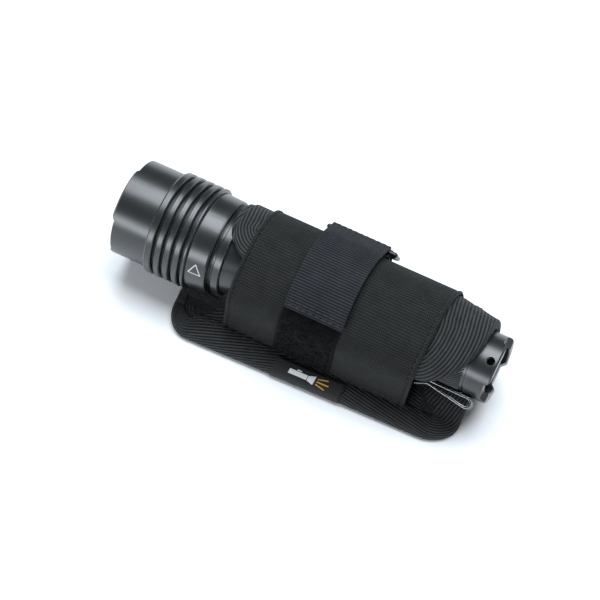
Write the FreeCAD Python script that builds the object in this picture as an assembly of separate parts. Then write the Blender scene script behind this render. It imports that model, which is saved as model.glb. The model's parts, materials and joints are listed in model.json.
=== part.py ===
import FreeCAD, Part

import math
import os

# Tactical flashlight in its belt holster. Millimetres, +X from the lens to the tail switch, +Z up.
# The light lies along X inside a padded wrap, with the lens at -X. The origin is on the surface that the
# holster rests on, below the light's axis at half the light's length.

V = FreeCAD.Vector

# ---- driving dimensions of the light ----
bezel_radius = 20.5
bezel_length = 16.7
bezel_wall = 1.9
bezel_lip = 3.2
bezel_rim = 0.7
bezel_notch_depth = 1.4
bezel_notch_angle = 60.0
fin_rise = 1.5
fin_count = 4
fin_pitch = 4.05
fin_gap = 1.1
fin_depth = 2.6
fin_rounding = 0.55
cone_length = 8.9
cone_drop = 0.35
neck_gap = 1.8
neck_ring_rise = 1.7
neck_ring_length = 3.5
neck_rise = 3.25
neck_tail_rise = 0.9
neck_taper_length = 10.0
neck_tail_length = 10.0
shelf_thickness = 8.0
lens_thickness = 2.5
lens_inset = 2.8
reflector_depth = 23.0
reflector_wall = 1.0
reflector_throat = 3.6
board_thickness = 1.6
led_board_radius = 10.0
led_size = 5.0
led_height = 1.1
coil_radius = 5.0
coil_height = 5.0
chip_size = 3.2
chip_height = 1.4
chip_place = 8.2
post_radius = 2.2
post_head_radius = 3.3
tube_radius = 13.75
tube_wall = 2.6
thread_depth = 0.7
thread_rings = 4
seal_cord = 1.3
cell_length = 75.3
cell_play = 0.45
wrap_thickness = 0.3
spring_length = 15.0
spring_wire = 0.9
spring_radius = 5.2
spring_turns = 6
cap_rise = 0.25
cap_skirt = 11.4
cap_back = 13.3
cap_wall = 2.0
crown_length = 5.2
crown_wall = 4.2
crown_notch_depth = 2.0
crown_notch_angle = 50.0
crown_lands = 3
crown_land_centre = 106.5
cap_groove_width = 0.9
cap_groove_depth = 0.55
lanyard_hole_radius = 1.8
lanyard_hole_setback = 3.1
button_radius = 7.0
button_wall = 1.4
button_travel = 1.5
switch_radius = 5.0
switch_length = 4.0
plunger_radius = 2.0
clip_angle = 202.0
clip_width = 8.0
clip_thickness = 0.9
clip_loop_height = 4.8
clip_setback = 6.6
clip_return_length = 17.0
clip_lead_in = 5.0
clip_ring_length = 8.0
clip_ring_setback = 22.0
clip_ring_wall = 1.05
clip_mouth = 15.0

# ---- driving dimensions of the holster ----
pad_thickness = 3.2
binding_thickness = 0.45
binding_width = 8.7
band_thickness = 1.0
band_inset = 7.2
band_far_angle = -55.0
strap_width = 25.4
strap_offset = -5.2
strap_tip_angle = 142.0
loop_thickness = 1.4
loop_far_angle = 38.0
hook_thickness = 0.6
hook_margin = 1.0
webbing_thickness = 1.3
ring_wire = 2.0
ring_play = 1.0
ring_shift = 0.8
ring_pitch = 8.0
ring_top_angle = 30.0
tab_far_angle = -35.0
belt_webbing = 1.4
belt_gap = 4.6
belt_loop_width = 22.0
belt_loop_length = 78.0
belt_loop_setback = 14.0
belt_loop_side = -8.0
label_thickness = 0.35
label_reach = 6.1
label_length = 30.6
label_lead = 13.6
label_under_angle = 230.0
wing_reach = 30.2
ramp_foot = 19.5
ramp_head = 9.0
ramp_bend = 9.0
wing_overhang = 19.2
tail_overhang = 7.7
tail_taper_length = 18.0
corner_radius = 11.0
flap_stop_angle = 165.0

# ---- named clearances ----
seat_gap = 0.05
thread_gap = 0.08
slide_gap = 0.3
layer_gap = 0.05
touch_gap = 0.02
head_gap = 0.8
fold_gap = 0.1

# ---- radii of the light ----
fin_radius = bezel_radius + fin_rise
neck_radius = tube_radius + neck_rise
neck_ring_radius = neck_radius + neck_ring_rise
neck_tail_radius = tube_radius + neck_tail_rise
cap_radius = tube_radius + cap_rise
lens_radius = bezel_radius - lens_inset
reflector_radius = bezel_radius - bezel_wall - 1.4
tube_bore = tube_radius - tube_wall
tube_front_radius = tube_radius - 0.75
tube_rear_radius = tube_radius - 1.15
driver_radius = tube_front_radius - 0.4
board_radius = tube_rear_radius - 1.5
cell_radius = tube_bore - cell_play
can_radius = cell_radius - wrap_thickness

# ---- places along the light, measured from the bezel's front rim ----
lens_front = bezel_lip + 1.0
lens_back = lens_front + lens_thickness
x_shelf = lens_back + reflector_depth + board_thickness + 1.0
x_driver_pocket = x_shelf + shelf_thickness
x_fins = bezel_length
fins_length = (fin_count + 0.5) * fin_pitch + 0.3
x_cone = x_fins + fins_length
x_neck_gap = x_cone + cone_length
x_neck_ring = x_neck_gap + neck_gap
x_neck = x_neck_ring + neck_ring_length
x_neck_tail = x_neck + neck_taper_length
x_head_end = x_neck_tail + neck_tail_length
x_tube_front = x_neck_tail - 0.5
x_front_seal = x_head_end - 1.6
x_driver = x_tube_front - board_thickness - 2.5
x_cell = x_neck_tail + 2.4
x_cell_end = x_cell + cell_length
x_board = x_cell_end + spring_length + 0.2
x_cap = x_board - cap_skirt
x_rear_seal = x_cap + 1.2
x_groove = x_board + 2.9
x_end = x_board + cap_back
x_lanyard = x_end - lanyard_hole_setback
x_clip_ring = x_cap - clip_ring_setback
overall_length = x_end

# ---- heights and radii of the holster's layers ----
pocket_radius = neck_radius + slide_gap + layer_gap + binding_thickness
wrap_radius = pocket_radius + pad_thickness / 2
wrap_outside = pocket_radius + pad_thickness
band_radius = wrap_outside + binding_thickness + layer_gap + band_thickness / 2
band_outside = band_radius + band_thickness / 2
loop_radius = band_outside + layer_gap + loop_thickness / 2
strap_radius = loop_radius + loop_thickness / 2 + layer_gap + hook_thickness + webbing_thickness / 2
wing_height = binding_thickness + layer_gap + pad_thickness / 2
wing_top = 2 * wing_height
axis_height = max(wing_top + head_gap + fin_radius, belt_webbing + belt_gap + wrap_outside)
tail_pocket_radius = cap_radius + slide_gap + layer_gap + binding_thickness
tail_wrap_radius = tail_pocket_radius + pad_thickness / 2
x_pocket = x_neck + slide_gap + binding_thickness
x_wing = x_pocket - wing_overhang
x_pad_end = x_end - tail_overhang
x_taper = x_pad_end - tail_taper_length
x_band = x_pocket + band_inset
x_band_end = x_taper - 0.5
strap_centre = (x_band + x_band_end) / 2 + strap_offset
x_strap = strap_centre - strap_width / 2
x_strap_end = strap_centre + strap_width / 2
ring_centre_radius = band_outside + slide_gap + webbing_thickness + fold_gap + ring_wire / 2

PARTS = {}


# ---- helpers ----
def point(y, z):
    """A point in the cross-section plane, with z measured from the resting surface."""
    return V(0, y, z)


def polar(radius, angle, centre=None):
    """A point at a radius and an angle about the light's axis: 0 is +Y, 90 is up, 180 is -Y."""
    cy, cz = centre if centre else (0.0, axis_height)
    a = math.radians(angle)
    return (cy + radius * math.cos(a), cz + radius * math.sin(a))


def turned(profile):
    """A solid of revolution about the light's axis. The profile is a list of (x, radius)."""
    points = [V(x, 0, axis_height + r) for x, r in profile]
    face = Part.Face(Part.makePolygon(points + [points[0]]))
    return face.revolve(V(0, 0, axis_height), V(1, 0, 0), 360)


def tube(x0, x1, outer, inner=0.0):
    """A round bar or sleeve on the light's axis."""
    solid = Part.makeCylinder(outer, x1 - x0, V(x0, 0, axis_height), V(1, 0, 0))
    if inner > 0:
        solid = solid.cut(Part.makeCylinder(inner, x1 - x0, V(x0, 0, axis_height), V(1, 0, 0)))
    return solid


def o_ring(x, radius, cord):
    """A round rubber ring: radius is to the middle of its cord."""
    return Part.makeTorus(radius, cord / 2, V(x, 0, axis_height), V(1, 0, 0))


def spun(shape, angle):
    """A copy turned about the light's axis."""
    copy = shape.copy()
    copy.rotate(V(0, 0, axis_height), V(1, 0, 0), angle)
    return copy


def crown_cut(x_rim, direction, depth, outer, angle_across):
    """Cutters for the notches between the crown's lands; direction is +1 where the rim faces +X."""
    half_width = outer * math.sin(math.radians(angle_across / 2))
    slope = depth * 0.9
    cutters = []
    inside = x_rim - direction * depth
    outside = x_rim + direction * 1.0
    for k in range(crown_lands):
        angle = crown_land_centre + (k + 0.5) * 360.0 / crown_lands
        corners = [V(inside, half_width - slope, 0), V(outside, half_width + slope / depth, 0),
                   V(outside, -half_width - slope / depth, 0), V(inside, -half_width + slope, 0)]
        face = Part.Face(Part.makePolygon(corners + [corners[0]]))
        prism = face.extrude(V(0, 0, outer + 2))
        prism.translate(V(0, 0, axis_height))
        cutters.append(spun(prism, angle - 90))
    return cutters


def rounded(points, radii):
    """Straight runs joined by tangent arcs: lines (start, end) and arcs (centre, radius, a0, a1)."""
    parts = []
    start = points[0]
    for i in range(1, len(points) - 1):
        p, q, r = points[i - 1], points[i], points[i + 1]
        ux, uy = q[0] - p[0], q[1] - p[1]
        vx, vy = r[0] - q[0], r[1] - q[1]
        lu, lv = math.hypot(ux, uy), math.hypot(vx, vy)
        ux, uy, vx, vy = ux / lu, uy / lu, vx / lv, vy / lv
        turn = math.atan2(ux * vy - uy * vx, ux * vx + uy * vy)
        radius = radii[i - 1]
        back = radius * math.tan(abs(turn) / 2)
        a = (q[0] - ux * back, q[1] - uy * back)
        b = (q[0] + vx * back, q[1] + vy * back)
        side = 1 if turn > 0 else -1
        centre = (a[0] - uy * radius * side, a[1] + ux * radius * side)
        a0 = math.degrees(math.atan2(a[1] - centre[1], a[0] - centre[0]))
        parts.append(("line", start, a))
        parts.append(("arc", centre, radius, a0, a0 + math.degrees(turn)))
        start = b
    parts.append(("line", start, points[-1]))
    return parts


def run_length(part):
    """The length of one line or arc of a path."""
    if part[0] == "line":
        return math.dist(part[1], part[2])
    return part[2] * math.radians(abs(part[4] - part[3]))


def trimmed(path, start, stop):
    """The stretch of a path between two distances along it."""
    kept = []
    at = 0.0
    for part in path:
        length = run_length(part)
        f0 = max(0.0, (start - at) / length)
        f1 = min(1.0, (stop - at) / length)
        at += length
        if f1 - f0 < 1e-6:
            continue
        if part[0] == "line":
            p, q = part[1], part[2]
            a = (p[0] + (q[0] - p[0]) * f0, p[1] + (q[1] - p[1]) * f0)
            b = (p[0] + (q[0] - p[0]) * f1, p[1] + (q[1] - p[1]) * f1)
            kept.append(("line", a, b))
        else:
            sweep = part[4] - part[3]
            kept.append(("arc", part[1], part[2], part[3] + sweep * f0, part[3] + sweep * f1))
    return kept


def shifted_edge(part, offset):
    """One edge of a path moved to its left by offset."""
    if part[0] == "line":
        (y0, z0), (y1, z1) = part[1], part[2]
        length = math.dist(part[1], part[2])
        ny, nz = -(z1 - z0) / length * offset, (y1 - y0) / length * offset
        return Part.makeLine(point(y0 + ny, z0 + nz), point(y1 + ny, z1 + nz))
    centre, radius, a0, a1 = part[1:]
    radius = radius - offset if a1 > a0 else radius + offset
    stops = [point(*polar(radius, a, centre)) for a in (a0, (a0 + a1) / 2, a1)]
    return Part.Arc(*stops).toShape()


def end_point(edge, last):
    """An edge's first or last point."""
    return edge.Vertexes[-1 if last else 0].Point


def section(path, thickness, left=None):
    """The closed outline of a strip of a given thickness that follows a path."""
    left = thickness / 2 if left is None else left
    inner = [shifted_edge(p, left) for p in path]
    outer = [shifted_edge(p, left - thickness) for p in path]
    caps = [Part.makeLine(end_point(inner[-1], True), end_point(outer[-1], True)),
            Part.makeLine(end_point(outer[0], False), end_point(inner[0], False))]
    return Part.Wire(Part.__sortEdges__(inner + [caps[0]] + outer + [caps[1]]))


def strip(path, thickness, x0, x1, left=None):
    """A strip that follows a path in cross-section and runs from x0 to x1."""
    face = Part.Face(section(path, thickness, left))
    face.translate(V(x0, 0, 0))
    return face.extrude(V(x1 - x0, 0, 0))


def save(name, shape):
    """Move the origin under the light's middle and write one STEP file."""
    solid = shape.removeSplitter() if len(shape.Solids) == 1 else shape
    solid = solid.copy()
    solid.translate(V(-overall_length / 2, 0, 0))
    PARTS[name] = solid


# ---- the head ----
def bezel():
    """The front ring, with its rolled lip over the lens and three shallow notches."""
    bore = bezel_radius - bezel_wall
    profile = [(bezel_rim, bezel_radius), (bezel_length, bezel_radius), (bezel_length, bore),
               (lens_back + 1.3, bore), (lens_back + 1.3, lens_radius + seat_gap),
               (bezel_lip, lens_radius + seat_gap), (bezel_lip, lens_radius - 1.1),
               (0.6, lens_radius - 0.2), (0, lens_radius + 0.6), (0, bezel_radius - bezel_rim)]
    solid = turned(profile)
    for cutter in crown_cut(0, -1, bezel_notch_depth, bezel_radius, bezel_notch_angle):
        solid = solid.cut(cutter)
    return solid


def head_shell():
    """The finned head: threaded spigot, rounded fins, cone, neck and the shelf that carries the emitter."""
    spigot = bezel_radius - bezel_wall - seat_gap
    r_cone = bezel_radius
    r_cone_end = bezel_radius - cone_drop
    profile = [(lens_back + 1.4, spigot), (x_fins + 0.01, spigot), (x_fins + 0.01, bezel_radius),
               (x_fins + 0.35, fin_radius - 0.35), (x_fins + 0.9, fin_radius)]
    for k in range(fin_count):
        groove = x_fins + 0.1 + (k + 1) * fin_pitch
        soft = fin_rounding
        half = fin_gap / 2
        floor_radius = fin_radius - fin_depth
        profile += [(groove - half - soft, fin_radius), (groove - half - 0.15, fin_radius - soft + 0.15),
                    (groove - half, fin_radius - soft - 0.3), (groove - half, floor_radius),
                    (groove + half, floor_radius), (groove + half, fin_radius - soft - 0.3),
                    (groove + half + 0.15, fin_radius - soft + 0.15), (groove + half + soft, fin_radius)]
    profile += [(x_cone - fin_rounding, fin_radius), (x_cone - 0.15, fin_radius - 0.3)]
    profile += [(x_cone, r_cone + 0.3),
                (x_cone, r_cone - 0.35), (x_cone + 0.35, r_cone - 0.35), (x_cone + 0.35, r_cone),
                (x_neck_gap - 0.8, r_cone_end), (x_neck_gap - 0.2, r_cone_end - 0.25),
                (x_neck_gap, r_cone_end - 0.85), (x_neck_gap, neck_radius), (x_neck, neck_radius),
                (x_neck_tail, neck_tail_radius), (x_head_end, neck_tail_radius),
                (x_head_end, tube_front_radius + seat_gap), (x_tube_front, tube_front_radius + seat_gap),
                (x_tube_front, driver_radius + seat_gap), (x_driver_pocket, driver_radius + seat_gap),
                (x_driver_pocket, 0), (x_shelf, 0), (x_shelf, reflector_radius + seat_gap),
                (lens_back + 1.4, reflector_radius + seat_gap)]
    solid = turned(profile)
    for side in (-1, 1):
        hole = Part.makeCylinder(1.1, shelf_thickness, V(x_shelf, side * 7.0, axis_height), V(1, 0, 0))
        solid = solid.cut(hole)
    return solid


def reflector():
    """A parabolic bowl with a front flange; its focus is at the emitter."""
    front = lens_back + touch_gap / 2
    back = front + reflector_depth
    mouth = lens_radius - 2.1
    bowl = []
    steps = 14
    for k in range(steps + 1):
        f = k / steps
        radius = math.sqrt(reflector_throat ** 2 + (mouth ** 2 - reflector_throat ** 2) * f)
        bowl.append((back - reflector_depth * f, radius))
    outside = [(x + reflector_wall * 0.4, r + reflector_wall) for x, r in bowl[:-2]]
    flange = lens_radius - 0.1
    profile = bowl + [(front, flange), (front + 1.3, flange)]
    profile += [(front + 1.3, reflector_radius), (front + 2.8, reflector_radius)]
    profile += list(reversed(outside))
    return turned(profile)


def clip_strip():
    """A spring clip: a split ring round the tube, and a strip that doubles back at the tail."""
    low = tube_radius + 0.4 + clip_thickness / 2
    rise = low + slide_gap
    bend = (clip_loop_height - clip_thickness) / 2
    x_bend = x_end - clip_setback
    x_return = x_bend - clip_return_length
    x_tip = x_return - clip_lead_in
    path = [("line", (x_clip_ring + 3.0, low), (x_bend, rise)),
            ("arc", (x_bend, rise + bend), bend, -90.0, 90.0),
            ("line", (x_bend, rise + 2 * bend), (x_return, low + clip_thickness + 0.5)),
            ("line", (x_return, low + clip_thickness + 0.5), (x_tip, low + clip_thickness + 2.4))]
    pieces = []
    for part in path:
        if part[0] == "line":
            (x0, h0), (x1, h1) = part[1], part[2]
            dx, dh = x1 - x0, h1 - h0
            length = math.hypot(dx, dh)
            n = (-dh / length * clip_thickness / 2, dx / length * clip_thickness / 2)
            ends = [(x0 + n[0], h0 + n[1]), (x1 + n[0], h1 + n[1])]
            ends += [(x1 - n[0], h1 - n[1]), (x0 - n[0], h0 - n[1])]
            corners = [V(x, -clip_width / 2, axis_height + h) for x, h in ends]
            pieces.append(Part.Face(Part.makePolygon(corners + [corners[0]])).extrude(V(0, clip_width, 0)))
        else:
            (cx, ch), radius = part[1], part[2]
            base = V(cx, -clip_width / 2, axis_height + ch)
            outer = Part.makeCylinder(radius + clip_thickness / 2, clip_width, base, V(0, 1, 0), 360)
            inner = Part.makeCylinder(radius - clip_thickness / 2, clip_width, base, V(0, 1, 0), 360)
            half = Part.makeBox(20, clip_width, 20, V(cx, -clip_width / 2, axis_height + ch - 10))
            pieces.append(outer.cut(inner).common(half))
    ring_inside = tube_radius + fold_gap
    ring = tube(x_clip_ring, x_clip_ring + clip_ring_length, ring_inside + clip_ring_wall, ring_inside)
    mouth = Part.makeBox(30, clip_mouth, 40, V(x_clip_ring - 5, -clip_mouth / 2, axis_height - 40))
    pieces.append(ring.cut(mouth))
    solid = pieces[0].fuse(pieces[1:])
    return spun(solid, clip_angle - 90.0)


def threaded_end(x0, x1, radius):
    """A tube end with thread-like ring grooves."""
    solid = tube(x0, x1, radius, tube_bore)
    for k in range(thread_rings):
        x = x0 + (k + 1) * (x1 - x0) / (thread_rings + 1)
        solid = solid.cut(tube(x - 0.35, x + 0.35, radius + 1, radius - thread_depth))
    return solid


def battery_tube():
    """The barrel, with a threaded end and a seal groove at each joint."""
    x_body = x_head_end + touch_gap
    x_body_end = x_cap - slide_gap
    front = threaded_end(x_tube_front + touch_gap, x_body, tube_front_radius)
    rear = threaded_end(x_body_end, x_board - 1.7, tube_rear_radius)
    solid = tube(x_body, x_body_end, tube_radius, tube_bore).fuse([front, rear])
    half = seal_cord / 2 + 0.2
    for x, outer in ((x_front_seal, tube_front_radius), (x_rear_seal, tube_rear_radius)):
        solid = solid.cut(tube(x - half, x + half, outer + 1, outer - seal_cord - layer_gap))
    return solid


def coil_spring(x0, x1, radius, wire, turns):
    """A close-ended compression spring on the light's axis."""
    start = x0 + wire / 2
    height = x1 - x0 - wire
    helix = Part.makeHelix(height / turns, height, radius)
    circle = Part.Wire(Part.makeCircle(wire / 2, V(radius, 0, 0), V(0, 1, 0)))
    solid = Part.Wire(helix).makePipeShell([circle], True, True)
    solid.rotate(V(0, 0, 0), V(0, 1, 0), 90)
    solid.translate(V(start, 0, axis_height))
    return solid


def tail_cap():
    """The tail cap: skirt, groove, crown round the button and the lanyard hole through one land."""
    bore = tube_rear_radius + thread_gap
    recess = cap_radius - crown_wall
    wall_front = x_end - crown_length - cap_wall
    groove_floor = cap_radius - cap_groove_depth
    x_groove_end = x_groove + cap_groove_width
    profile = [(x_cap, bore), (x_cap, cap_radius - 0.5), (x_cap + 0.5, cap_radius),
               (x_groove, cap_radius), (x_groove, groove_floor), (x_groove_end, groove_floor),
               (x_groove_end, cap_radius), (x_end - 0.6, cap_radius), (x_end, cap_radius - 0.6),
               (x_end, recess + 0.4), (x_end - 0.4, recess), (x_end - crown_length, recess),
               (x_end - crown_length, button_radius + 0.2), (wall_front, button_radius + 0.2),
               (wall_front, board_radius + seat_gap), (x_board, board_radius + seat_gap), (x_board, bore)]
    solid = turned(profile)
    for cutter in crown_cut(x_end, 1, crown_notch_depth, cap_radius, crown_notch_angle):
        solid = solid.cut(cutter)
    hole = Part.makeCylinder(lanyard_hole_radius, 30, V(x_lanyard, 0, axis_height), V(0, 0, 1))
    return solid.cut(spun(hole, crown_land_centre - 90))


# ---- holster cross-section paths ----
def pad_path(radius):
    """The pad's middle line: wing, ramp, under the light, round the far side, over to the flap."""
    low = axis_height - radius
    corners = [(-wing_reach, wing_height), (-ramp_foot, wing_height), (-ramp_head, low), (0.0, low)]
    path = rounded(corners, [ramp_bend, ramp_bend])
    path.append(("arc", (0.0, axis_height), radius, -90.0, flap_stop_angle))
    return path


def path_length(path):
    """The length of a whole path."""
    return sum(run_length(p) for p in path)


def path_end(path):
    """The last point of a path."""
    last = path[-1]
    return last[2] if last[0] == "line" else polar(last[2], last[4], last[1])


def clear_run(path, limit):
    """How far along a path its points stay further than limit from the light's axis."""
    length = 1.0
    step = 0.1
    while math.dist(path_end(trimmed(path, 0, length + step)), (0.0, axis_height)) > limit:
        length += step
    return length


def loft_between(path0, x0, path1, x1, thickness, left=None):
    """A strip whose cross-section changes steadily from x0 to x1."""
    first = section(path0, thickness, left)
    last = section(path1, thickness, left)
    first.translate(V(x0, 0, 0))
    last.translate(V(x1, 0, 0))
    return Part.makeLoft([first, last], True, True)


def wing_corner(x, towards, y, size):
    """A cutter that rounds one corner of the wing; towards is +1 where the corner is at the -X end."""
    box = Part.makeBox(size, size, 30, V(x if towards > 0 else x - size, y, -5))
    centre = V(x + towards * size, y + size, -6)
    return box.cut(Part.makeCylinder(size, 40, centre, V(0, 0, 1)))


def panel():
    """The padded panel: main wrap, tapered tail stretch and the wing that runs on under the head."""
    main = strip(pad_path(wrap_radius), pad_thickness, x_pocket, x_taper)
    ends = pad_path(wrap_radius), x_taper, pad_path(tail_wrap_radius), x_pad_end
    tail = loft_between(*ends, pad_thickness)
    wing = strip(trimmed(pad_path(wrap_radius), 0, wing_width), pad_thickness, x_wing, x_pocket)
    solid = main.fuse([tail, wing])
    for x, towards in ((x_wing, 1), (x_pad_end, -1)):
        solid = solid.cut(wing_corner(x, towards, -wing_reach, corner_radius))
    return solid


def radius_at(x):
    """The wrap's middle radius, which shrinks along the tail stretch."""
    f = max(0.0, (x - x_taper) / tail_taper_length)
    return wrap_radius + (tail_wrap_radius - wrap_radius) * f


def fold_over(x, start_angle):
    """The binding's path over the flap's edge: outside face, nose, inside face."""
    radius = radius_at(x)
    half = pad_thickness / 2 + layer_gap + binding_thickness / 2
    nose = polar(radius, flap_stop_angle)
    return [("arc", (0.0, axis_height), radius + half, start_angle, flap_stop_angle),
            ("arc", nose, half, flap_stop_angle, flap_stop_angle + 180.0),
            ("arc", (0.0, axis_height), radius - half, flap_stop_angle, start_angle)]


def wing_fold():
    """The binding's path over the wing's edge: upper face, nose, lower face."""
    half = pad_thickness / 2 + layer_gap + binding_thickness / 2
    back = -wing_reach + binding_width
    return [("line", (back, wing_height + half), (-wing_reach, wing_height + half)),
            ("arc", (-wing_reach, wing_height), half, 90.0, 270.0),
            ("line", (-wing_reach, wing_height - half), (back, wing_height - half))]


def wrap_path_at(x, start):
    """The pad's path at x, from a distance behind the wing's edge to the flap's binding."""
    path = pad_path(radius_at(x))
    return trimmed(path, start, path_length(path) - binding_width)


def skin(start, x0, x1, offset):
    """A thin layer of binding on one face of the panel; offset is to the layer's left face."""
    return loft_between(wrap_path_at(x0, start), x0, wrap_path_at(x1, start), x1, binding_thickness, offset)


def edge_wrap(x_edge, x_back, start):
    """Binding folded over one curved end of the panel: outside layer, inside layer and end wall."""
    outside = -(pad_thickness / 2 + layer_gap)
    inside = pad_thickness / 2 + layer_gap + binding_thickness
    towards = 1 if x_back > x_edge else -1
    wall_far = x_edge - towards * binding_thickness
    first = min(wall_far, x_back)
    last = max(wall_far, x_back)
    layers = [skin(start, first, last, outside), skin(start, first, last, inside)]
    wall = strip(wrap_path_at(x_edge, start), pad_thickness + 2 * layer_gap + 2 * binding_thickness - 0.1,
                 min(wall_far, x_edge - towards * 0.02), max(wall_far, x_edge - towards * 0.02))
    return layers[0].fuse([layers[1], wall])


def wing_binding():
    """Folded tape along the wing's long edge."""
    solid = strip(wing_fold(), binding_thickness, x_wing, x_pad_end)
    size = corner_radius + binding_thickness + layer_gap
    for x, towards in ((x_wing, 1), (x_pad_end, -1)):
        solid = solid.cut(wing_corner(x, towards, -wing_reach - size + corner_radius, size))
    return solid


def flap_binding():
    """Folded tape round both curved ends of the wrap and along the flap's edge."""
    start = flap_stop_angle - math.degrees(binding_width / wrap_radius)
    edge = strip(fold_over(x_pocket, start), binding_thickness, x_pocket, x_taper)
    tail_edge = loft_between(fold_over(x_taper, start), x_taper, fold_over(x_pad_end, start), x_pad_end,
                             binding_thickness)
    front = edge_wrap(x_pocket, x_pocket + binding_width, wing_width + 0.5)
    tail = edge_wrap(x_pad_end, x_pad_end - binding_width, binding_width + 1.0)
    return Part.makeCompound([edge, tail_edge, front, tail])


def band_path(radius, foot_y, foot_z, stop_angle):
    """From the far side over the light, then straight down to a foot on the wing."""
    reach = math.dist((0.0, axis_height), (foot_y, foot_z))
    foot_angle = math.degrees(math.atan2(foot_z - axis_height, foot_y)) % 360
    leave = foot_angle - math.degrees(math.acos(radius / reach))
    return [("arc", (0.0, axis_height), radius, stop_angle, leave),
            ("line", polar(radius, leave), (foot_y, foot_z))]


def strap_ring():
    """A wire loop bent to a rectangle, its long bars along X."""
    wire = ring_wire / 2
    top, low = ring_bars()
    half = strap_width / 2 + ring_play + wire
    middle = strap_centre + ring_shift
    pieces = []
    for y, z in (top, low):
        pieces.append(Part.makeCylinder(wire, 2 * half, V(middle - half, y, z), V(1, 0, 0)))
    along = V(0, low[0] - top[0], low[1] - top[1])
    for x in (middle - half, middle + half):
        pieces.append(Part.makeCylinder(wire, along.Length, V(x, top[0], top[1]), along))
        for y, z in (top, low):
            pieces.append(Part.makeSphere(wire, V(x, y, z)))
    return pieces[0].fuse(pieces[1:])


def ring_bars():
    """The middles of the ring's upper and lower bars."""
    top = polar(ring_centre_radius, ring_top_angle)
    low_angle = ring_top_angle - math.degrees(ring_pitch / ring_centre_radius)
    return top, polar(ring_centre_radius - 0.05, low_angle)


def ring_tab():
    """A short webbing tab sewn to the band, folded round the ring's lower bar."""
    low = ring_bars()[1]
    thickness = webbing_thickness - 0.1
    fold = ring_wire / 2 + fold_gap + thickness / 2
    low_angle = math.degrees(math.atan2(low[1] - axis_height, low[0]))
    inner = math.dist(low, (0.0, axis_height)) - fold
    upper_ply = inner + thickness + 2 * layer_gap
    turn_end = low_angle - math.degrees(math.acos((upper_ply - fold) / (inner + fold)))
    path = [("arc", (0.0, axis_height), inner, tab_far_angle, low_angle),
            ("arc", low, fold, low_angle + 180, turn_end),
            ("line", polar(fold, turn_end, low), polar(upper_ply, turn_end))]
    return strip(path, thickness, x_strap, x_strap_end)


def strap_paths():
    """The strap's return: a fold round the upper bar, a straight run and an arc over the light."""
    top = ring_bars()[0]
    fold = ring_wire / 2 + fold_gap + webbing_thickness / 2
    reach = math.dist(top, (0.0, axis_height))
    leave = ring_top_angle + math.degrees(math.acos((strap_radius - fold) / reach))
    path = [("arc", top, fold, ring_top_angle - 178.0, leave),
            ("line", polar(fold, leave, top), polar(strap_radius, leave)),
            ("arc", (0.0, axis_height), strap_radius, leave, strap_tip_angle)]
    hook_radius = strap_radius - webbing_thickness / 2 - hook_thickness / 2
    hook = [("arc", (0.0, axis_height), hook_radius, leave + 12.0, strap_tip_angle - 3.0)]
    return path, hook


# ---- the wing's width under the head ----
head_limit = fin_radius + head_gap / 2 + pad_thickness / 2 + layer_gap + binding_thickness
wing_width = clear_run(pad_path(wrap_radius), head_limit)

# ---- head pieces ----
save("bezel", bezel())
save("bezel_o_ring", o_ring(bezel_lip + 0.5, lens_radius - 0.6, 0.96))
save("lens", tube(lens_front, lens_back, lens_radius))
save("reflector", reflector())
save("head_shell", head_shell())
x_ring_back = x_neck - touch_gap
ring_bore = neck_radius + touch_gap
save("neck_ring", turned([(x_neck_ring + 0.4, neck_ring_radius), (x_neck - 0.4, neck_ring_radius),
                          (x_ring_back, neck_ring_radius - 0.4), (x_ring_back, ring_bore),
                          (x_neck_ring, ring_bore), (x_neck_ring, neck_ring_radius - 0.4)]))
x_led_board = x_shelf - board_thickness
save("led_board", tube(x_led_board, x_shelf - touch_gap, led_board_radius))
half_led = led_size / 2
x_led = x_led_board - touch_gap - led_height
led_corner = V(x_led, -half_led, axis_height - half_led)
save("led_emitter", Part.makeBox(led_height, led_size, led_size, led_corner))
gasket = tube(lens_back + reflector_depth + 0.45, x_led_board - layer_gap, 7.5)
window = led_size + 0.2
gasket_window = Part.makeBox(3, window, window, V(x_led_board - 2, -window / 2, axis_height - window / 2))
save("led_centring_ring", gasket.cut(gasket_window))

# ---- driver ----
x_driver_back = x_driver + board_thickness
x_parts = x_driver - touch_gap
save("driver_board", tube(x_driver, x_driver_back, driver_radius))
save("driver_inductor", tube(x_parts - coil_height, x_parts, coil_radius, 1.8))
chips = []
for k in range(4):
    y, z = polar(chip_place, 90.0 * k)
    corner = V(x_parts - chip_height, y - chip_size / 2, z - chip_size / 2)
    chips.append(Part.makeBox(chip_height, chip_size, chip_size, corner))
save("driver_chips", Part.makeCompound(chips))
x_post = x_driver_back + touch_gap
save("driver_retaining_ring", tube(x_post, x_tube_front - slide_gap, driver_radius, driver_radius - 2.0))
x_post_head = x_cell - 2.7
post = tube(x_post, x_post_head, post_radius)
save("positive_contact", post.fuse(tube(x_post_head, x_cell - 1.25, post_head_radius)))

# ---- battery tube and clip ----
save("battery_tube", battery_tube())
save("front_o_ring", o_ring(x_front_seal, tube_front_radius - seal_cord / 2 - touch_gap, seal_cord))
save("rear_o_ring", o_ring(x_rear_seal, tube_rear_radius - seal_cord / 2 - touch_gap, seal_cord))
save("pocket_clip", clip_strip())

# ---- battery ----
save("battery_can", turned([(x_cell, 0), (x_cell, can_radius - 2.0), (x_cell + 0.6, can_radius - 0.3),
                            (x_cell + 1.4, can_radius), (x_cell_end - 0.4, can_radius),
                            (x_cell_end, can_radius - 0.5), (x_cell_end, 0)]))
save("battery_wrap", tube(x_cell + 1.5, x_cell_end - 0.5, cell_radius, can_radius + touch_gap / 2))
save("battery_button_top", tube(x_cell - 1.2, x_cell - touch_gap, 3.6))

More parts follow.
